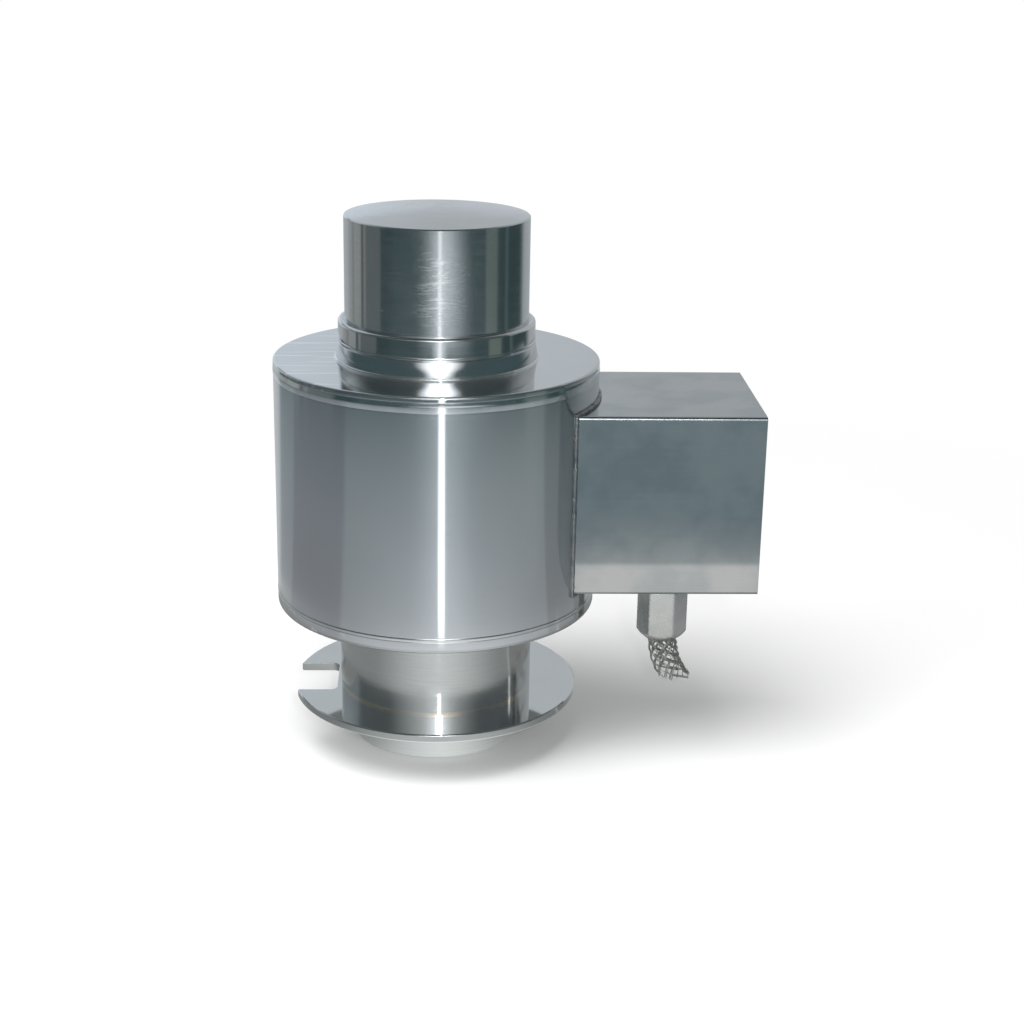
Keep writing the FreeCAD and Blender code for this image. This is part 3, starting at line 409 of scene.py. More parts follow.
@dataclass(frozen=True)
class ColumnFinish(Finish):
    """Turned bar: a straw heat line above the plate, a brown patch on the neck's front right, and strokes on
    the button's front where the lamp's highlight blooms, lighter in colour there as a painted highlight.
    """

    ring_stretch: Place = (0.06, 0.06, 1.0)
    ring_share: float = 0.6
    # Strokes where the lamp's highlight blooms on the button's front: rougher there, and lighter in colour as
    # a painted highlight.
    highlight_strokes_level: Bell = (134 * MM, 3 * MM, 13 * MM)
    highlight_strokes_across: Bell = (1 * MM, 1 * MM, 9 * MM)
    highlight_strokes_front: Step = (-20 * MM, -15 * MM, 0.65, 0.0)
    stroke_stretch: Place = (0.18, 0.18, 1.0)
    stroke_size: float = 0.7 * MM
    stroke_share: Step = (0.42, 0.62)
    heat_level: Bell = (16.3 * MM, 0.1 * MM, 0.6 * MM)
    heat_size: float = 12 * MM
    heat_share: Step = (0.42, 0.62, 0.2, 0.9)
    neck_wall: Step = (26.9 * MM, 27.0 * MM)
    straw: Colour = (0.82, 0.73, 0.60)
    # A brown patch on the neck's front right.
    brown_patch_level: Bell = (24 * MM, 1.5 * MM, 8 * MM)
    brown_patch_depth: Bell = (-13 * MM, 1 * MM, 7 * MM)
    brown_patch_side: Step = (20 * MM, 22 * MM)
    brown_patch_size: float = 4 * MM
    brown_patch_share: Step = (0.4, 0.65, 0.0, 0.75)
    brown: Colour = (0.36, 0.31, 0.27)

    def lines(self, paint: Paint) -> Signal:
        """Turning lines that come and go round the bar, and strokes on the button's front where the lamp's
        highlight blooms: they roughen it and lighten its colour there, partly a painted highlight.

        Args:
            paint: the material in the making.

        Returns:
            The lines as a height from 0 to 1, higher where strokes of the patch are.
        """
        rings = paint.noise(self.line_pitch, stretch=self.ring_stretch)
        turned = super().lines(paint) * (1 - self.ring_share) + rings * self.ring_share
        x, y, z = paint.axes()
        patch = paint.bell(z, *self.highlight_strokes_level) * paint.bell(x, *self.highlight_strokes_across)
        strokes = paint.noise(self.stroke_size, stretch=self.stroke_stretch)
        strokes = paint.ramp(strokes, *self.stroke_share)
        return turned + patch * strokes * paint.ramp(y, *self.highlight_strokes_front)

    def tint(self, paint: Paint, share: Signal) -> Signal:
        """Steel, with the straw line at the foot of the neck and a brown patch on its front right.

        Args:
            paint: the material in the making.
            share: share of the light tone.

        Returns:
            The colour.
        """
        x, y, z = paint.axes()
        line = paint.bell(z, *self.heat_level)
        line = line * paint.ramp(paint.noise(self.heat_size), *self.heat_share)
        line = line * paint.ramp(around(x, y), *self.neck_wall)
        brown_patch = paint.bell(z, *self.brown_patch_level) * paint.bell(y, *self.brown_patch_depth)
        patch = paint.ramp(paint.noise(self.brown_patch_size), *self.brown_patch_share)
        brown_patch = brown_patch * paint.ramp(x, *self.brown_patch_side) * patch
        heated = paint.mix(line, super().tint(paint, share), self.straw)
        return paint.mix(brown_patch, heated, self.brown)


@dataclass(frozen=True)
class CoverFinish(Finish):
    """Turned cover with thin light streaks on the left of its face: a painted reflection of lamps."""

    # Light streaks on the left of the face: a painted reflection of lamps.
    reflection_stretch: Place = (0.06, 1.0, 1.0)
    reflection_size: float = 1.6 * MM
    reflection_share: Step = (0.60, 0.68)
    reflection_side: Step = (-30 * MM, -22 * MM, 1.0, 0.0)
    reflection_tone: float = 0.6
    reflected_light: Colour = (0.86, 0.87, 0.88)

    def tint(self, paint: Paint, share: Signal) -> Signal:
        """Steel with thin light streaks along X on the left of the face: a painted reflection of lamps.

        Args:
            paint: the material in the making.
            share: share of the light tone.

        Returns:
            The colour.
        """
        x, _, _ = paint.axes()
        painted_reflection = paint.noise(self.reflection_size, 1.0, self.reflection_stretch)
        painted_reflection = paint.ramp(painted_reflection, *self.reflection_share) * paint.ramp(x, *self.reflection_side)
        return paint.mix(painted_reflection * self.reflection_tone, super().tint(paint, share), self.reflected_light)


@dataclass(frozen=True)
class SheetFinish(Finish):
    """Satin sheet steel, ground in straight lines and clouded by handling."""

    grind_stretch: Place = (0.02, 1.0, 1.0)

    def lines(self, paint: Paint) -> Signal:
        """Straight grinding lines that run along X."""
        return paint.noise(self.line_pitch, stretch=self.grind_stretch)


@dataclass(frozen=True)
class WeldFinish(Finish):
    """Weld metal with faint straw and blue heat tints."""

    straw: Colour = (0.34, 0.31, 0.28)
    tint_size: float = 6 * MM
    tint_share: float = 0.8

    def tint(self, paint: Paint, share: Signal) -> Signal:
        """Colour that wanders between bare, straw and blue.

        Args:
            paint: the material in the making.
            share: share of the light tone.

        Returns:
            The colour.
        """
        stops = ((0.3, self.dark), (0.5, self.colour), (0.7, self.straw))
        wander = paint.noise(self.tint_size, 2.0) * self.tint_share + share * (1 - self.tint_share)
        return paint.chain("ShaderNodeValToRGB", {0: wander}, stops=stops)


@dataclass(frozen=True)
class BoardFinish(Finish):
    """Printed board: solder resist with copper tracks under it."""

    cells_per_metre: float = 420.0
    track_edge: Step = (0.04, 0.07, 1.0, 0.0)

    def tint(self, paint: Paint, share: Signal) -> Signal:
        """Tracks along the edges of cells, broken up by blotches.

        Args:
            paint: the material in the making.
            share: share of the light tone.

        Returns:
            The colour.
        """
        sockets = {"Vector": paint.spot, "Scale": self.cells_per_metre}
        cells = paint.chain("ShaderNodeTexVoronoi", sockets, feature="DISTANCE_TO_EDGE")
        track = paint.ramp(cells, *self.track_edge)
        return paint.mix(track * share, self.colour, self.dark)


def around(x: Signal, y: Signal) -> Signal:
    """Distance from the column axis."""
    return (x * x + y * y) ** 0.5


STEEL: Colour = (0.60, 0.615, 0.62)
STEEL_DARK: Colour = (0.545, 0.565, 0.575)
SEAMS = ("top_seam_weld", "bottom_seam_weld", "collar_weld")

FINISHES = (
    ColumnFinish("column_turned", ("column_steel",), STEEL, STEEL_DARK, 0.14, spread=0.03, ring_spread=0.08,
                 anisotropic=0.8, line_pitch=0.5 * MM, line_depth=0.0004 * MM, haze=0.17, haze_roughness=0.34,
                 haze_lines=0.45),
    Finish("canister_polished", ("canister_steel",), STEEL, STEEL_DARK, 0.12, spread=0.02, anisotropic=0.9,
           line_pitch=0.9 * MM, line_depth=0.0002 * MM, blotch=40 * MM, haze=0.2, edge=0.5 * MM),
    CoverFinish("cover_turned", ("cover_steel",), STEEL, STEEL_DARK, 0.08, spread=0.02, anisotropic=0.3,
                line_pitch=0.7 * MM, line_depth=0.0003 * MM, haze=0.1, edge=0.5 * MM),
    Finish("collar_turned", ("seal_collar",), STEEL, STEEL_DARK, 0.09, spread=0.02, anisotropic=0.4,
           line_pitch=0.7 * MM, line_depth=0.0002 * MM, haze=0.1),
    Finish("plate_mirror", ("plate_steel",), (0.65, 0.67, 0.675), (0.61, 0.63, 0.635), 0.05, spread=0.02,
           line_pitch=0.8 * MM, line_depth=0.0002 * MM, blotch=12 * MM, edge=0.3 * MM),
    Finish("seam_smooth", SEAMS, (0.74, 0.75, 0.75), (0.64, 0.66, 0.665), 0.12, spread=0.05,
           line_pitch=0.5 * MM, line_depth=0.0002 * MM, blotch=3 * MM, bump=0.0006 * MM, haze=0.1),
    SheetFinish("box_satin", ("box_steel",), (0.44, 0.46, 0.465), (0.36, 0.39, 0.405), 0.14, spread=0.05,
                line_pitch=0.7 * MM, line_depth=0.0001 * MM, line_tone=0.08, blotch=14 * MM, cloud=0.14,
                bump=0.004 * MM, haze=0.25, edge=0.2 * MM),
    WeldFinish("weld_bead", ("weld_steel",), (0.34, 0.35, 0.355), (0.18, 0.20, 0.21), 0.24, spread=0.08,
               blotch=2 * MM, bump=0.03 * MM),
    Finish("gland_satin", ("gland_metal",), (0.68, 0.68, 0.66), (0.58, 0.58, 0.57), 0.26, spread=0.05,
           blotch=4 * MM, bump=0.004 * MM, edge=1.2 * MM, wear=0.25),
    Finish("braid_tinned", ("braid_wire",), (0.56, 0.57, 0.54), (0.26, 0.27, 0.25), 0.32, spread=0.1,
           blotch=0.8 * MM),
    Finish("seal_black", ("seal_rubber",), (0.03, 0.03, 0.03), (0.02, 0.02, 0.02), 0.75, 0.0, blotch=3 * MM,
           bump=0.03 * MM),
    BoardFinish("board_resist", ("board_green",), (0.02, 0.13, 0.06), (0.05, 0.26, 0.12), 0.35, 0.0,
                blotch=4 * MM),
    Finish("package_black", ("component_black",), (0.03, 0.03, 0.033), (0.018, 0.018, 0.02), 0.55, 0.0,
           blotch=3 * MM, bump=0.01 * MM),
    Finish("terminal_moulded", ("terminal_grey",), (0.26, 0.28, 0.29), (0.2, 0.22, 0.23), 0.45, 0.0,
           blotch=3 * MM, bump=0.01 * MM),
    Finish("fixing_zinc", ("fixing_steel",), (0.62, 0.62, 0.6), (0.48, 0.49, 0.5), 0.3, blotch=2 * MM,
           line_pitch=0.4 * MM, line_depth=0.002 * MM),
    Finish("gauge_amber", ("gauge_foil",), (0.5, 0.28, 0.07), (0.3, 0.15, 0.04), 0.3, 0.0, blotch=1 * MM),
    Finish("solder_dull", ("solder",), (0.6, 0.6, 0.58), (0.42, 0.42, 0.42), 0.35, blotch=1 * MM,
           bump=0.02 * MM),
    Finish("bush_glass", ("glass_bush",), (0.05, 0.08, 0.07), (0.02, 0.03, 0.03), 0.1, 0.0, coat=0.5,
           blotch=3 * MM),
    Finish("jacket_black", ("cable_jacket",), (0.05, 0.05, 0.053), (0.03, 0.03, 0.032), 0.6, 0.0,
           blotch=3 * MM, bump=0.02 * MM),
    Finish("sleeve_red", ("wire_sleeve",), (0.36, 0.05, 0.035), (0.22, 0.03, 0.02), 0.35, 0.0, blotch=2 * MM),
)


class Reach(Enum):
    """Rays that a stage card shows itself to."""

    GLOSSY_ONLY = "glossy"
    FLOOR = "floor"


class Draw(Enum):
    """Seeds of the random draws, one for each thing that differs from wire to wire or ripple to ripple."""

    CUT = 3
    RIPPLE = 5
    LOOSE = 8
    SHORT = 11
    STRAY = 21


class Grower(Bench):
    """A Geometry Nodes tree with named inputs that grows a piece from a guide curve."""

    def __init__(self, name: str, inputs: dict[str, float | int]) -> None:
        """Starts a tree with its named inputs.

        Args:
            name: the tree's name.
            inputs: its sizes, by name.
        """
        self.inputs = inputs
        super().__init__(bpy.data.node_groups.new(name, "GeometryNodeTree"))
        face = self.tree.interface
        face.new_socket(name="Guide", in_out="INPUT", socket_type="NodeSocketGeometry")
        self.keys = {}
        for word, value in inputs.items():
            kind = "NodeSocketInt" if isinstance(value, int) else "NodeSocketFloat"
            self.keys[word] = face.new_socket(name=word, in_out="INPUT", socket_type=kind).identifier
        face.new_socket(name="Piece", in_out="OUTPUT", socket_type="NodeSocketGeometry")
        self.source = self.node("NodeGroupInput")

    def get(self, word: str) -> Signal:
        """A named input of the tree."""
        return self.out(self.source, word)

    def random(self, index: Signal, low: float, high: float, draw: Draw) -> Signal:
        """A fixed random number for each wire."""
        sockets = {2: low, 3: high, "ID": index, "Seed": draw.value}
        return self.chain("FunctionNodeRandomValue", sockets, 1, data_type="FLOAT")

    def close(self, geometry: Signal, material: bpy.types.Material) -> None:
        """Ends the tree: instances made real, then the material.

        Args:
            geometry: what the tree has grown.
            material: its material.
        """
        real = self.chain("GeometryNodeRealizeInstances", {0: geometry})
        dressed = self.chain("GeometryNodeSetMaterial", {"Geometry": real, "Material": material})
        self.node("NodeGroupOutput", {0: dressed})

    def grow(self, name: str, guide: bpy.types.Object, node: str, slot: str) -> bpy.types.Object:
        """Grows the piece, leaves it a plain mesh and puts it in the place of its solid.

        Args:
            name: the new piece's name.
            guide: the curve object that the tree works on; it is removed.
            node: the solid that the piece stands for.
            slot: its material slot; not used.

        Returns:
            The piece, at the origin.
        """
        modifier = guide.modifiers.new(self.tree.name, "NODES")
        modifier.node_group = self.tree
        for word, value in self.inputs.items():
            modifier[self.keys[word]] = value
        bpy.context.view_layer.update()
        graph = bpy.context.evaluated_depsgraph_get()
        mesh = bpy.data.meshes.new_from_object(guide.evaluated_get(graph))
        bpy.data.objects.remove(guide)
        mesh.name = name
        for polygon in mesh.polygons:
            polygon.use_smooth = True
        piece = add_object(name, mesh)
        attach(piece, "root")
        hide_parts(node)
        return piece


SPLINE_ORDER = 3
SPLINE_STEPS = 16


def guide_curve(name: str, points: list[Vector], closed: bool = False) -> bpy.types.Object:
    """A curve object through points.

    Args:
        name: its name.
        points: places along it.
        closed: straight runs in a closed loop, or else one smooth open run.

    Returns:
        The curve object.
    """
    data = bpy.data.curves.new(name, "CURVE")
    data.dimensions = "3D"
    spline = data.splines.new("POLY" if closed else "NURBS")
    spline.points.add(len(points) - 1)
    for point, place in zip(spline.points, points):
        point.co = (*place, 1.0)
    spline.use_cyclic_u = closed
    if not closed:
        spline.order_u = SPLINE_ORDER
        spline.use_endpoint_u = True
        spline.resolution_u = SPLINE_STEPS
    return add_object(name, data)


def places(*points: Place) -> list[Vector]:
    """Points in millimetres as vectors in metres."""
    return [Vector(point) * MM for point in points]


BRAID_ROUTE = (
    (64.9, 0.0, 32.0), (65.0, 0.0, 28.1), (65.5, 0.0, 23.8), (67.1, 0.0, 19.4), (69.3, 0.0, 16.0),
    (71.6, 0.0, 12.8),
)
STRAND_ROUTE = (
    (68.2, -1.4, 29.6), (69.0, -1.2, 27.0), (69.3, -1.0, 24.4), (70.5, -0.8, 20.8), (73.2, -0.6, 16.3),
    (75.0, -0.5, 13.6),
)


@dataclass
class Braid:
    """Torn wire braid below the gland: crossing bundles of fine wires, cut ragged."""

    name: str = "woven_braid"
    node: str = "braid_sleeve"
    radius: float = 3.8 * MM
    wire_radius: float = 0.14 * MM
    carriers: int = 9
    wires: int = 3
    twist: float = 0.8
    points: int = 56
    level: float = 15.9 * MM  # of the lowest wire ends
    ragged: float = 1.3 * MM
    frayed: float = 9.0 * MM  # most that a short wire ends higher
    whole_share: float = 0.6  # of wires that aren't frayed
    torn_end: Step = (0.45, 0.8)
    torn_out: float = 0.25 * MM
    torn_round: float = 0.16  # in radians
    wire_pitch: float = 2.1  # in wire radii, as the next
    wire_rise: float = 0.9
    wire_sides: int = 5
    route: list[Vector] = field(default_factory=lambda: places(*BRAID_ROUTE))

    def build(self, material: bpy.types.Material) -> bpy.types.Object:
        """Grows the braid along its route and puts it in the place of its solid.

        Args:
            material: the wires' material.

        Returns:
            The piece.
        """
        tree = Grower(self.name + "_weave", {
            "Radius": self.radius, "Wire": self.wire_radius, "Carriers": self.carriers,
            "Wires": self.wires, "Twist": self.twist, "Points": self.points, "Level": self.level,
        })
        line = tree.chain("GeometryNodeCurvePrimitiveLine")
        line = tree.chain("GeometryNodeResampleCurve", {"Curve": line, "Count": tree.get("Points")})
        sockets = {0: line, "Amount": tree.get("Carriers") * tree.get("Wires") * 2.0}
        copies = tree.node("GeometryNodeDuplicateElements", sockets, domain="SPLINE")
        index = tree.out(copies, 1)
        sockets = {0: tree.out(copies, 0), "Position": self.woven(tree, index)}
        bent = self.cut(tree, index, tree.chain("GeometryNodeSetPosition", sockets))
        sockets = {"Resolution": self.wire_sides, "Radius": tree.get("Wire")}
        ring = tree.chain("GeometryNodeCurvePrimitiveCircle", sockets)
        mesh = tree.chain("GeometryNodeCurveToMesh", {0: bent, 1: ring, "Fill Caps": True})
        tree.close(mesh, material)
        return tree.grow(self.name, guide_curve(self.name + "_route", self.route), self.node, "braid_wire")

    def woven(self, tree: Grower, index: Signal) -> Signal:
        """Crossing helices of wires round the route, loose where they are torn.

        Args:
            tree: the tree in the making.
            index: number of the wire.

        Returns:
            The place of each of its points.
        """
        carriers, wires = tree.get("Carriers"), tree.get("Wires")
        share = tree.chain("GeometryNodeSplineParameter", output="Factor")
        side = index.math("MODULO", 2.0) * 2.0 - 1.0
        half = (index / 2.0).math("FLOOR")
        wire = half.math("MODULO", wires)
        carrier = (half / wires).math("FLOOR")
        length = tree.chain("GeometryNodeCurveLength", {0: tree.get("Guide")})
        sockets = {"Curves": tree.get("Guide"), "Length": share * length}
        sample = tree.node("GeometryNodeSampleCurve", sockets, mode="LENGTH")
        tangent, normal = tree.out(sample, "Tangent"), tree.out(sample, "Normal")
        angle = side * share * tree.get("Twist") * FULL_TURN + carrier * FULL_TURN / carriers
        aside = (wire - (wires - 1.0) / 2.0) * tree.get("Wire") * self.wire_pitch / tree.get("Radius")
        angle = angle + aside
        rise = (angle * carriers).math("SINE") * side * tree.get("Wire") * self.wire_rise
        torn = tree.ramp(share, *self.torn_end)
        loose = tree.random(index, -1.0, 1.0, Draw.LOOSE) * torn * self.torn_out
        reach = tree.get("Radius") + rise + loose
        angle = angle + tree.random(index, -1.0, 1.0, Draw.STRAY) * torn * self.torn_round
        across = tree.vector("CROSS_PRODUCT", {0: tangent, 1: normal})
        out = tree.vector("SCALE", {0: normal, "Scale": angle.math("COSINE") * reach})
        turned = tree.vector("SCALE", {0: across, "Scale": angle.math("SINE") * reach})
        offset = tree.vector("ADD", {0: out, 1: turned})
        return tree.vector("ADD", {0: tree.out(sample, "Position"), 1: offset})

    def cut(self, tree: Grower, index: Signal, wires: Signal) -> Signal:
        """Cuts each wire off at a height of its own.

        Args:
            tree: the tree in the making.
            index: number of the wire.
            wires: the wires at full length.

        Returns:
            The wires that are left.
        """
        height = tree.chain("ShaderNodeSeparateXYZ", {0: tree.chain("GeometryNodeInputPosition")}, 2)
        short = tree.random(index, 0.0, 1.0, Draw.SHORT).math("GREATER_THAN", self.whole_share)
        above = tree.random(index, 0.0, 1.0, Draw.CUT) * (short * self.frayed + self.ragged)
        below = (height - (tree.get("Level") + above)).math("LESS_THAN", 0.0)
        return tree.chain("GeometryNodeDeleteGeometry", {0: wires, "Selection": below}, domain="POINT")


@dataclass
class BoxBead:
    """Rippled weld bead round the joint of electronics box and canister."""

    node: str = "box_weld"
    tube_radius: float = 44.5 * MM
    half_width: float = 25.0 * MM
    low: float = 50.65 * MM
    high: float = 100.65 * MM
    pitch: float = 0.6 * MM
    radius: float = 0.7 * MM
    arc_steps: int = 24
    lift: float = 0.2 * MM
    clear: float = 0.3 * MM
    ripple_least: Place = (0.8, 0.8, 0.7)
    ripple_most: Place = (1.1, 1.1, 0.95)

    def route(self) -> list[Vector]:
        """Closed route of the bead on the canister, just outside the box's edges.

        Returns:
            Its points in order.
        """
        reach = self.tube_radius + self.lift
        last = math.asin((self.half_width + self.clear) / reach)
        runs = ((self.high + self.clear, -last, last), (self.low - self.clear, last, -last))
        points = []
        for level, start, end in runs:
            for step in range(self.arc_steps + 1):
                angle = start + (end - start) * step / self.arc_steps
                points.append(Vector((reach * math.cos(angle), reach * math.sin(angle), level)))
        return points

    def build(self, material: bpy.types.Material) -> bpy.types.Object:
        """Grows the bead from overlapping ripples and puts it in the place of its solid.

        Args:
            material: the weld's material.

        Returns:
            The piece.
        """
        tree = Grower("bead_ripples", {"Pitch": self.pitch, "Size": self.radius, "Seed": Draw.RIPPLE.value})
        sockets = {"Curve": tree.get("Guide"), "Length": tree.get("Pitch")}
        steps = tree.chain("GeometryNodeResampleCurve", sockets, mode="LENGTH")
        drop = tree.chain("GeometryNodeMeshIcoSphere", {"Radius": tree.get("Size"), "Subdivisions": 2})
        drop = tree.chain("GeometryNodeSetShadeSmooth", {0: drop})
        along = tree.chain("GeometryNodeInputTangent")
        turn = tree.chain("FunctionNodeAlignRotationToVector", {"Vector": along}, axis="Z")
        sockets = {0: self.ripple_least, 1: self.ripple_most, "Seed": tree.get("Seed")}
        size = tree.chain("FunctionNodeRandomValue", sockets, 0, data_type="FLOAT_VECTOR")
        sockets = {"Points": steps, "Instance": drop, "Rotation": turn, "Scale": size}
        tree.close(tree.chain("GeometryNodeInstanceOnPoints", sockets), material)
        guide = guide_curve("bead_route", self.route(), closed=True)
        return tree.grow("box_bead", guide, self.node, "weld_steel")


@dataclass
class Housing:
    """All solid pieces of the model that keep their shape and get their finishes."""

    finishes: dict[str, bpy.types.Material]
    slots: dict[str, str]

    def build(self, nodes: dict[str, bpy.types.Object]) -> None:
        """Assigns each solid its finish: one of its own, or else that of its slot.

        Args:
            nodes: the solids by their names.
        """
        for name, piece in nodes.items():
            finish = self.finishes.get(name) or self.finishes[self.slots[name]]
            for slot in piece.material_slots:
                slot.material = finish
            log.info("dressed %s in %s", name, finish.name)


@dataclass(frozen=True)
class Card:
    """Light or shade between two turns and two distances or heights, which shows only in the metal."""

    start: float
    end: float
    soft: float
    band: Band
    colour: Colour
    blend: Blend = Blend.OVER

    def lay(self, paint: Paint, turn: Signal, along: Signal, light: Signal) -> Signal:
        """Lays the card over the light so far.

        Args:
            paint: the material in the making.
            turn: angle from the front, in degrees, to the right.
            along: distance from the axis on the table, or height on the tent.
            light: the light so far.

        Returns:
            The light with the card.
        """
        mask = paint.between(turn, self.start, self.end, self.soft) * paint.between(along, *self.band)
        return paint.mix(mask, light, self.colour, self.blend)


LAMP_TURN = 3.3  # degrees to the right of the front, as all turns here

# Distance from the column axis in metres, and the table's light there.
TABLE_STOPS: Stops = (
    (0.000, (0.42, 0.43, 0.42)),
    (0.054, (0.42, 0.43, 0.42)),
    (0.062, (0.25, 0.26, 0.255)),
    (0.075, (0.25, 0.26, 0.255)),
    (0.079, (0.39, 0.40, 0.39)),
    (0.090, (0.33, 0.34, 0.33)),
    (0.132, (0.32, 0.33, 0.325)),
    (0.142, (0.58, 0.60, 0.62)),
    (0.152, (0.58, 0.60, 0.62)),
    (0.156, (0.39, 0.41, 0.43)),
    (0.270, (0.35, 0.39, 0.42)),
    (0.320, (0.33, 0.375, 0.39)),
    (0.428, (0.25, 0.31, 0.34)),
    (0.445, (0.09, 0.13, 0.135)),
    (0.490, (0.06, 0.095, 0.10)),
    (0.700, (0.045, 0.078, 0.085)),
    (1.000, (0.05, 0.085, 0.09)),
)

FAR_OUT: Band = (0.48, 9.0, 0.02)

# Laid in this order, by distance: panels and screens at both sides, a thin one by the neck.
TABLE_CARDS = (
    Card(-113.0, -62.5, 2.0, (0.14, 0.44, 0.015), (0.78, 0.76, 0.78), Blend.SHADE),
    Card(76.0, 122.0, 1.0, (0.14, 0.44, 0.015), (0.76, 0.75, 0.74), Blend.SHADE),
    Card(26.0, 70.0, 4.0, (0.20, 0.44, 0.015), (1.08, 1.06, 1.05), Blend.SHADE),
    Card(-74.0, -54.0, 2.0, (0.46, 1.7, 0.015), (0.8, 0.8, 0.8), Blend.SHADE),
    Card(61.0, 78.0, 2.0, (0.45, 1.7, 0.015), (3.1, 2.4, 2.05), Blend.SHADE),
    Card(82.0, 120.0, 1.0, (0.46, 1.7, 0.015), (0.75, 0.77, 0.75), Blend.SHADE),
    Card(91.0, 96.5, 1.0, (0.46, 1.7, 0.015), (2.2, 2.1, 2.1), Blend.SHADE),
    Card(83.5, 86.0, 0.6, (0.06, 0.14, 0.005), (1.7, 1.65, 1.6), Blend.SHADE),
    Card(86.0, 181.0, 5.0, (0.06, 0.14, 0.005), (0.85, 0.85, 0.85), Blend.SHADE),
    Card(-181.0, -105.0, 1.0, FAR_OUT, (0.37, 0.385, 0.385)),
    Card(-105.0, -72.0, 2.0, FAR_OUT, (0.15, 0.17, 0.175)),
    Card(-127.0, -121.0, 1.0, FAR_OUT, (0.28, 0.29, 0.29)),
    Card(-105.0, -101.0, 0.8, FAR_OUT, (0.11, 0.125, 0.125)),
    Card(-100.5, -96.5, 0.6, FAR_OUT, (0.28, 0.29, 0.29)),
)

# Laid in this order, by height: dim room, wide lamp, dark and low panels at the left, slit at the right.
TENT_CARDS = (
    Card(-100.0, 100.0, 10.0, (0.48, 0.71, 0.05), (0.17, 0.185, 0.185)),
    Card(-34.2, 28.8, 28.5, (0.48, 0.71, 0.05), (1.1, 1.1, 1.07)),
    Card(-149.0, -113.0, 6.0, (0.40, 0.58, 0.02), (0.10, 0.11, 0.11)),
    Card(-160.0, -98.0, 6.0, (0.59, 0.66, 0.02), (0.55, 0.55, 0.53), Blend.SHADE),
    Card(99.0, 102.0, 0.5, (0.60, 0.635, 0.01), (4.6, 4.4, 4.2)),
)


def flat_mesh(name: str, corners: list[Place]) -> bpy.types.Mesh:
    """A mesh of one face with these corners."""
    mesh = bpy.data.meshes.new(name)
    mesh.from_pydata(corners, [], [tuple(range(len(corners)))])
    return mesh


def bearing(x: Signal, y: Signal) -> Signal:
    """Angle from the front of the part, in degrees, to the right."""
    return x.math("ARCTAN2", -y) * (360 / FULL_TURN)


@dataclass(frozen=True)
class TableLight:
    """Light off the table: pale near the part, dim far from it, with cards and a bright strip.

    Turns are in degrees, bands and steps are over the distance from the column axis.
    """

    near_fall: Step = (0.132, 0.150, 1.6, 0.5)
    near_end: Step = (0.16, 0.32, 1.0, 0.0)
    near_reach: float = 75.0
    middle: Band = (0.15, 0.44, 0.01)
    middle_gain: float = 0.42
    middle_turn: float = LAMP_TURN + 3
    middle_reach: float = 25.0
    far: Step = (0.46, 0.50)
    side_start: Step = (0.13, 0.14)
    left_side: Step = (-142.0, -133.0, 1.0, 0.0)
    right_side: Step = (0.44, 0.47, 144.0, 121.0)
    right_soft: float = 15.0
    side_near: Colour = (0.60, 0.63, 0.65)
    side_far: Colour = (0.46, 0.49, 0.51)
    lamp: Band = (0.555, 0.84, 0.06)
    lamp_turn: float = LAMP_TURN + 6.5
    lamp_reach: Step = (0.62, 0.85, 38.0, 26.0)
    lamp_light: Colour = (1.24, 1.34, 1.41)
    strip: Bell = (LAMP_TURN, 1.8, 2.2)
    strip_start: Step = (0.1535, 0.156)
    strip_fall: Step = (0.44, 0.50, 1.0, 0.3)
    strip_light: Colour = (2.6, 2.65, 2.7)
    drop: Bell = (LAMP_TURN, 2.0, 10.0)
    drop_band: Band = (0.503, 0.533, 0.004)
    drop_light: Colour = (1.8, 1.85, 1.9)

    def make(self) -> bpy.types.Material:
        """Builds the light.

        Returns:
            The card's material.
        """
        paint = Paint("table_light")
        x, y, _ = paint.axes()
        away, turn = around(x, y), bearing(x, y)
        light = self.glow(paint, turn, away)
        for card in TABLE_CARDS:
            light = card.lay(paint, turn, away, light)
        right = paint.ramp(away, *self.right_side)
        sides = paint.ramp(turn, *self.left_side) + paint.ramp(turn, right, right + self.right_soft)
        pale = paint.mix(paint.ramp(away, *self.far), self.side_near, self.side_far)
        light = paint.mix(sides * paint.ramp(away, *self.side_start), light, pale)
        lamp = paint.bell(turn, self.lamp_turn, 0.0, paint.ramp(away, *self.lamp_reach))
        light = paint.mix(lamp * paint.between(away, *self.lamp), light, self.lamp_light)
        strip = paint.bell(turn, *self.strip) * paint.ramp(away, *self.strip_start)
        light = paint.mix(strip * paint.ramp(away, *self.strip_fall), light, self.strip_light)
        drop = paint.bell(turn, *self.drop) * paint.between(away, *self.drop_band)
        return paint.close(paint.glow(paint.mix(drop, light, self.drop_light)))

    def glow(self, paint: Paint, turn: Signal, away: Signal) -> Signal:
        """The table's own light, brighter before the lamp.

        Args:
            paint: the card's material.
            turn: angle from the front, in degrees.
            away: distance from the axis.

        Returns:
            The light.
        """
        light = paint.chain("ShaderNodeValToRGB", {0: away}, stops=TABLE_STOPS)
        near = paint.ramp(away, *self.near_fall) * paint.ramp(away, *self.near_end)
        middle = paint.between(away, *self.middle) * self.middle_gain
        glow = paint.bell(turn, LAMP_TURN, 0.0, self.near_reach) * near
        glow = glow + paint.bell(turn, self.middle_turn, 0.0, self.middle_reach) * middle
        return paint.vector("SCALE", {0: light, "Scale": glow + 1.0})


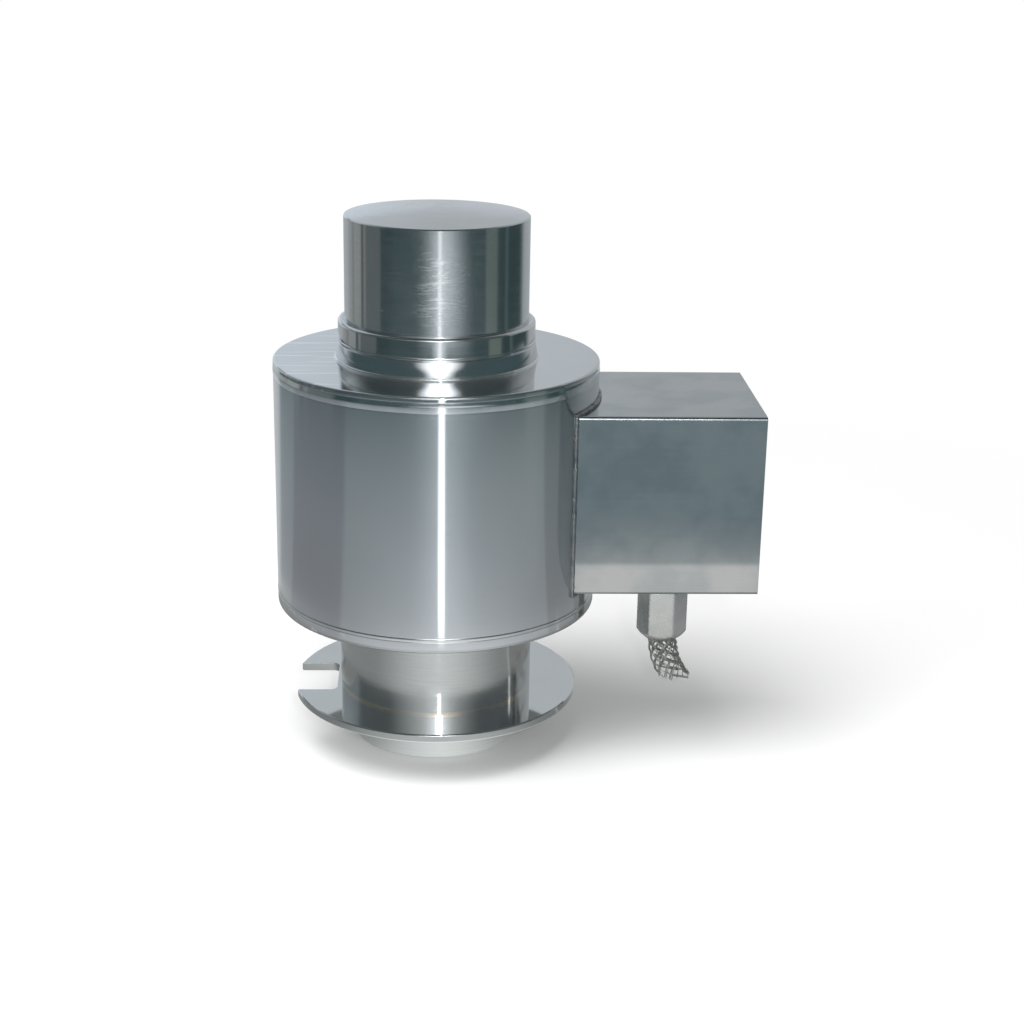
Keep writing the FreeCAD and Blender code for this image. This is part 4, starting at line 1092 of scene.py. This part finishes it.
@dataclass(frozen=True)
class TentLight:
    """Light off the surroundings: pale behind the part, a dim room with a soft lamp before it.

    The lamp shows in two parts, one above the other, each wider at its top.
    """

    behind: Step = (-0.1, 0.9)
    room: Colour = (0.08, 0.105, 0.11)
    pale: Colour = (0.62, 0.66, 0.70)
    left: Step = (-0.35, 0.06, 1.0, 0.0)
    left_heights: Step = (0.50, 0.58, 1.0, 0.45)
    left_gain: Colour = (1.3, 1.36, 1.42)
    right: Step = (0.14, 0.22)
    right_gain: Colour = (0.92, 0.91, 0.89)
    above: Step = (0.50, 0.58)
    above_gain: Colour = (0.93, 0.92, 0.90)
    low: Step = (0.25, 0.40, 1.0, 0.0)
    low_turn: Bell = (0.0, 105.0, 140.0)
    low_light: Colour = (0.07, 0.11, 0.12)
    lamp: Bell = (0.0, 7.0, 34.0)
    lamp_fade: float = 0.015
    foot_width: float = 0.55
    lamps: tuple[tuple[float, float, Colour], ...] = (
        (0.10, 0.39, (2.2, 2.25, 2.3)),
        (0.74, 1.02, (4.2, 4.3, 4.4)),
    )

    def make(self) -> bpy.types.Material:
        """Builds the light.

        Returns:
            The card's material.
        """
        paint = Paint("tent_light")
        x, y, z = paint.axes()
        turn = bearing(x, y)
        behind = paint.ramp(y, *self.behind)
        light = paint.mix(behind, self.room, self.pale)
        left = paint.ramp(x, *self.left) * paint.ramp(z, *self.left_heights)
        light = paint.mix(left * behind, light, self.left_gain, Blend.SHADE)
        light = paint.mix(paint.ramp(x, *self.right) * behind, light, self.right_gain, Blend.SHADE)
        light = paint.mix(paint.ramp(z, *self.above), light, self.above_gain, Blend.SHADE)
        low = paint.ramp(z, *self.low) * paint.bell(turn, *self.low_turn)
        light = paint.mix(low, light, self.low_light)
        for card in TENT_CARDS:
            light = card.lay(paint, turn, z, light)
        for foot, top, colour in self.lamps:
            width = paint.ramp(z, foot, top, self.foot_width, 1.0)
            lamp = paint.bell((turn - LAMP_TURN) / width, *self.lamp)
            light = paint.mix(lamp * paint.between(z, foot, top, self.lamp_fade), light, colour)
        return paint.close(paint.glow(light))


@dataclass(frozen=True)
class FlagCard:
    """Upright card before the box: dim above, pale along its foot, clear to rays that graze it."""

    left: float = 35 * MM
    right: float = 90 * MM
    foot: float = 46.5 * MM
    top: float = 102 * MM
    ahead: float = -30 * MM
    dim: Colour = (0.30, 0.37, 0.40)
    middle: Colour = (0.58, 0.61, 0.61)
    middle_end: Step = (55 * MM, 73 * MM, 1.0, 0.0)
    pale: Colour = (1.02, 0.99, 0.97)
    pale_end: Step = (56.7 * MM, 58.5 * MM, 1.0, 0.0)
    graze: Step = (0.35, 0.55)

    def mesh(self) -> bpy.types.Mesh:
        """Builds the card's upright rectangle.

        Returns:
            Its mesh.
        """
        left, right, foot, top = self.left, self.right, self.foot, self.top
        ends = ((left, foot), (right, foot), (right, top), (left, top))
        return flat_mesh("flag_card", [(x, self.ahead, z) for x, z in ends])

    def make(self) -> bpy.types.Material:
        """Builds the light.

        Returns:
            The card's material.
        """
        paint = Paint("flag_light")
        _, _, z = paint.axes()
        light = paint.mix(paint.ramp(z, *self.middle_end), self.dim, self.middle)
        light = paint.mix(paint.ramp(z, *self.pale_end), light, self.pale)
        aslant = paint.chain("ShaderNodeLayerWeight", {"Blend": 0.5}, output="Facing")
        clear = paint.chain("ShaderNodeBsdfTransparent")
        return paint.close(paint.blend(paint.ramp(aslant, *self.graze), paint.glow(light), clear))


@dataclass(frozen=True)
class Lamp:
    """One square lamp that faces the part; size in metres, power in watts."""

    name: str
    place: Place
    size: float
    power: float
    glossy: bool = False
    aim: Place = (0.0, 0.0, 0.08)

    def hang(self) -> None:
        """Hangs the lamp in its place and turns it to the part."""
        data = bpy.data.lights.new(self.name, "AREA")
        data.size = self.size
        data.energy = self.power
        lamp = add_object(self.name, data)
        lamp.location = self.place
        lamp.rotation_mode = "QUATERNION"
        lamp.rotation_quaternion = (Vector(self.aim) - Vector(self.place)).to_track_quat("-Z", "Y")
        lamp.visible_glossy = self.glossy


LAMPS = (
    Lamp("top_lamp", (-0.25, -0.35, 1.2), 0.9, 14.0),
    Lamp("left_lamp", (-1.0, -0.6, 0.7), 0.8, 6.0),
    Lamp("near_lamp", (0.035, -0.50, 0.25), 0.02, 0.5, glossy=True),
)


@dataclass
class Studio:
    """Pale floor, soft light, cards that show only in the metal, and the camera."""

    lens: float = 65.455
    sensor: float = 36.0
    nearest: float = 0.01
    eye: Vector = field(default_factory=lambda: Vector((0.0, -496.16, 230.82)) * MM)
    pitch: float = 18.363
    yaw: float = 2.454
    roll: float = 0.964
    ambient: float = 0.5
    floor_reach: float = 6.0
    floor_colour: Colour = (0.86, 0.86, 0.86)
    floor_fade: Step = (0.16, 0.42)
    reach: float = 1.5
    tent_rings: int = 12
    tent_sectors: int = 48

    def build(self) -> None:
        """Sets up everything round the part."""
        self.camera()
        self.world()
        self.floor()
        self.cards()
        for lamp in LAMPS:
            lamp.hang()
        bpy.context.scene.view_settings.view_transform = "Standard"

    def camera(self) -> None:
        """The camera at the photograph's viewpoint."""
        data = bpy.data.cameras.new("camera")
        data.lens = self.lens
        data.sensor_width = self.sensor
        data.clip_start = self.nearest
        camera = add_object("camera", data)
        tilt, turn, lean = (math.radians(angle) for angle in (self.pitch, self.yaw, self.roll))
        ahead = Vector((math.sin(turn) * math.cos(tilt), math.cos(turn) * math.cos(tilt), -math.sin(tilt)))
        level = Vector((math.cos(turn), -math.sin(turn), 0.0))
        upright = level.cross(ahead)
        right = level * math.cos(lean) + upright * math.sin(lean)
        above = upright * math.cos(lean) - level * math.sin(lean)
        aim = Matrix((right, above, -ahead)).transposed().to_4x4()
        camera.matrix_world = Matrix.Translation(self.eye) @ aim
        bpy.context.scene.camera = camera

    def world(self) -> None:
        """White to the camera and in reflections, a soft level for everything else."""
        world = bpy.data.worlds.new("studio")
        world.use_nodes = True
        world.node_tree.nodes.clear()
        bench = Bench(world.node_tree)
        path = bench.node("ShaderNodeLightPath")
        seen = bench.out(path, "Is Camera Ray")
        for ray in ("Is Glossy Ray", "Is Transmission Ray"):
            seen = seen.math("MAXIMUM", bench.out(path, ray))
        strength = seen * (1 - self.ambient) + self.ambient
        sockets = {"Color": WHITE, "Strength": strength}
        bench.node("ShaderNodeOutputWorld", {0: bench.chain("ShaderNodeBackground", sockets)})
        bpy.context.scene.world = world

    def sheet(self, name: str, reach: float) -> bpy.types.Mesh:
        """A level square at the table's height, with this half side."""
        return flat_mesh(name, [(x * reach, y * reach, 0.0) for x, y in ((-1, -1), (1, -1), (1, 1), (-1, 1))])

    def floor(self) -> None:
        """Pale floor that fades to white away from the part."""
        paint = Paint("floor_pale")
        away = paint.vector("LENGTH", {0: paint.spot}, 1)
        seen = paint.chain("ShaderNodeLightPath", output="Is Camera Ray")
        matt = paint.chain("ShaderNodeBsdfDiffuse", {"Color": (*self.floor_colour, 1.0)})
        fade = paint.ramp(away, *self.floor_fade) * seen
        material = paint.close(paint.blend(fade, matt, paint.glow(WHITE)))
        self.stand("floor", self.sheet("floor", self.floor_reach), material, Reach.FLOOR)

    def stand(self, name: str, mesh: bpy.types.Mesh, material: bpy.types.Material, reach: Reach) -> None:
        """Adds a stage object and says which rays see it.

        Args:
            name: the object's name.
            mesh: its mesh.
            material: its material.
            reach: the rays.
        """
        mesh.materials.append(material)
        item = add_object(name, mesh)
        if reach is Reach.GLOSSY_ONLY:
            for rays in ("camera", "diffuse", "shadow", "transmission", "volume_scatter"):
                setattr(item, "visible_" + rays, False)
            material.cycles.emission_sampling = "NONE"
        else:
            item.visible_glossy = False

    def cards(self) -> None:
        """Grey cards on the table and round the part, which only its metal reflects."""
        table = self.sheet("table_card", self.reach)
        self.stand("table_card", table, TableLight().make(), Reach.GLOSSY_ONLY)
        flag = FlagCard()
        self.stand("flag_card", flag.mesh(), flag.make(), Reach.GLOSSY_ONLY)
        self.stand("tent_card", self.tent(), TentLight().make(), Reach.GLOSSY_ONLY)

    def tent(self) -> bpy.types.Mesh:
        """A half ball over the part.

        Returns:
            Its mesh, in rings of four-sided faces.
        """
        verts, faces = [], []
        for ring in range(self.tent_rings + 1):
            rise = math.pi / 2 * ring / self.tent_rings
            level, out = self.reach * math.sin(rise), self.reach * math.cos(rise)
            for sector in range(self.tent_sectors):
                turn = FULL_TURN * sector / self.tent_sectors
                verts.append((out * math.cos(turn), out * math.sin(turn), level))
        for ring in range(self.tent_rings):
            low, high = ring * self.tent_sectors, (ring + 1) * self.tent_sectors
            for sector in range(self.tent_sectors):
                after = (sector + 1) % self.tent_sectors
                faces.append((low + sector, low + after, high + after, high + sector))
        mesh = bpy.data.meshes.new("tent_card")
        mesh.from_pydata(verts, [], faces)
        return mesh


def main() -> None:
    """Builds the sub-assemblies in order and reports each piece."""
    logging.basicConfig(level=logging.INFO, format="%(name)s: %(message)s")
    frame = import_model()
    finishes = {}
    for finish in FINISHES:
        material = finish.make()
        finishes |= {wearer: material for wearer in finish.wearers}
    slots = {row["node"]: row["material_slot"] for row in frame["record"]["subparts"]}
    Housing(finishes, slots).build(frame["nodes"])
    strand = Braid("slack_strand", radius=0.26 * MM, wire_radius=0.17 * MM, carriers=3, wires=1, twist=3.0,
                   frayed=0.0, route=places(*STRAND_ROUTE))
    for work, slot in ((Braid(), "braid_wire"), (strand, "braid_wire"), (BoxBead(), "weld_steel")):
        piece = work.build(finishes[slot])
        log.info("grew %s with %d faces", piece.name, len(piece.data.polygons))
    Studio().build()


if __name__ == "__main__":
    main()
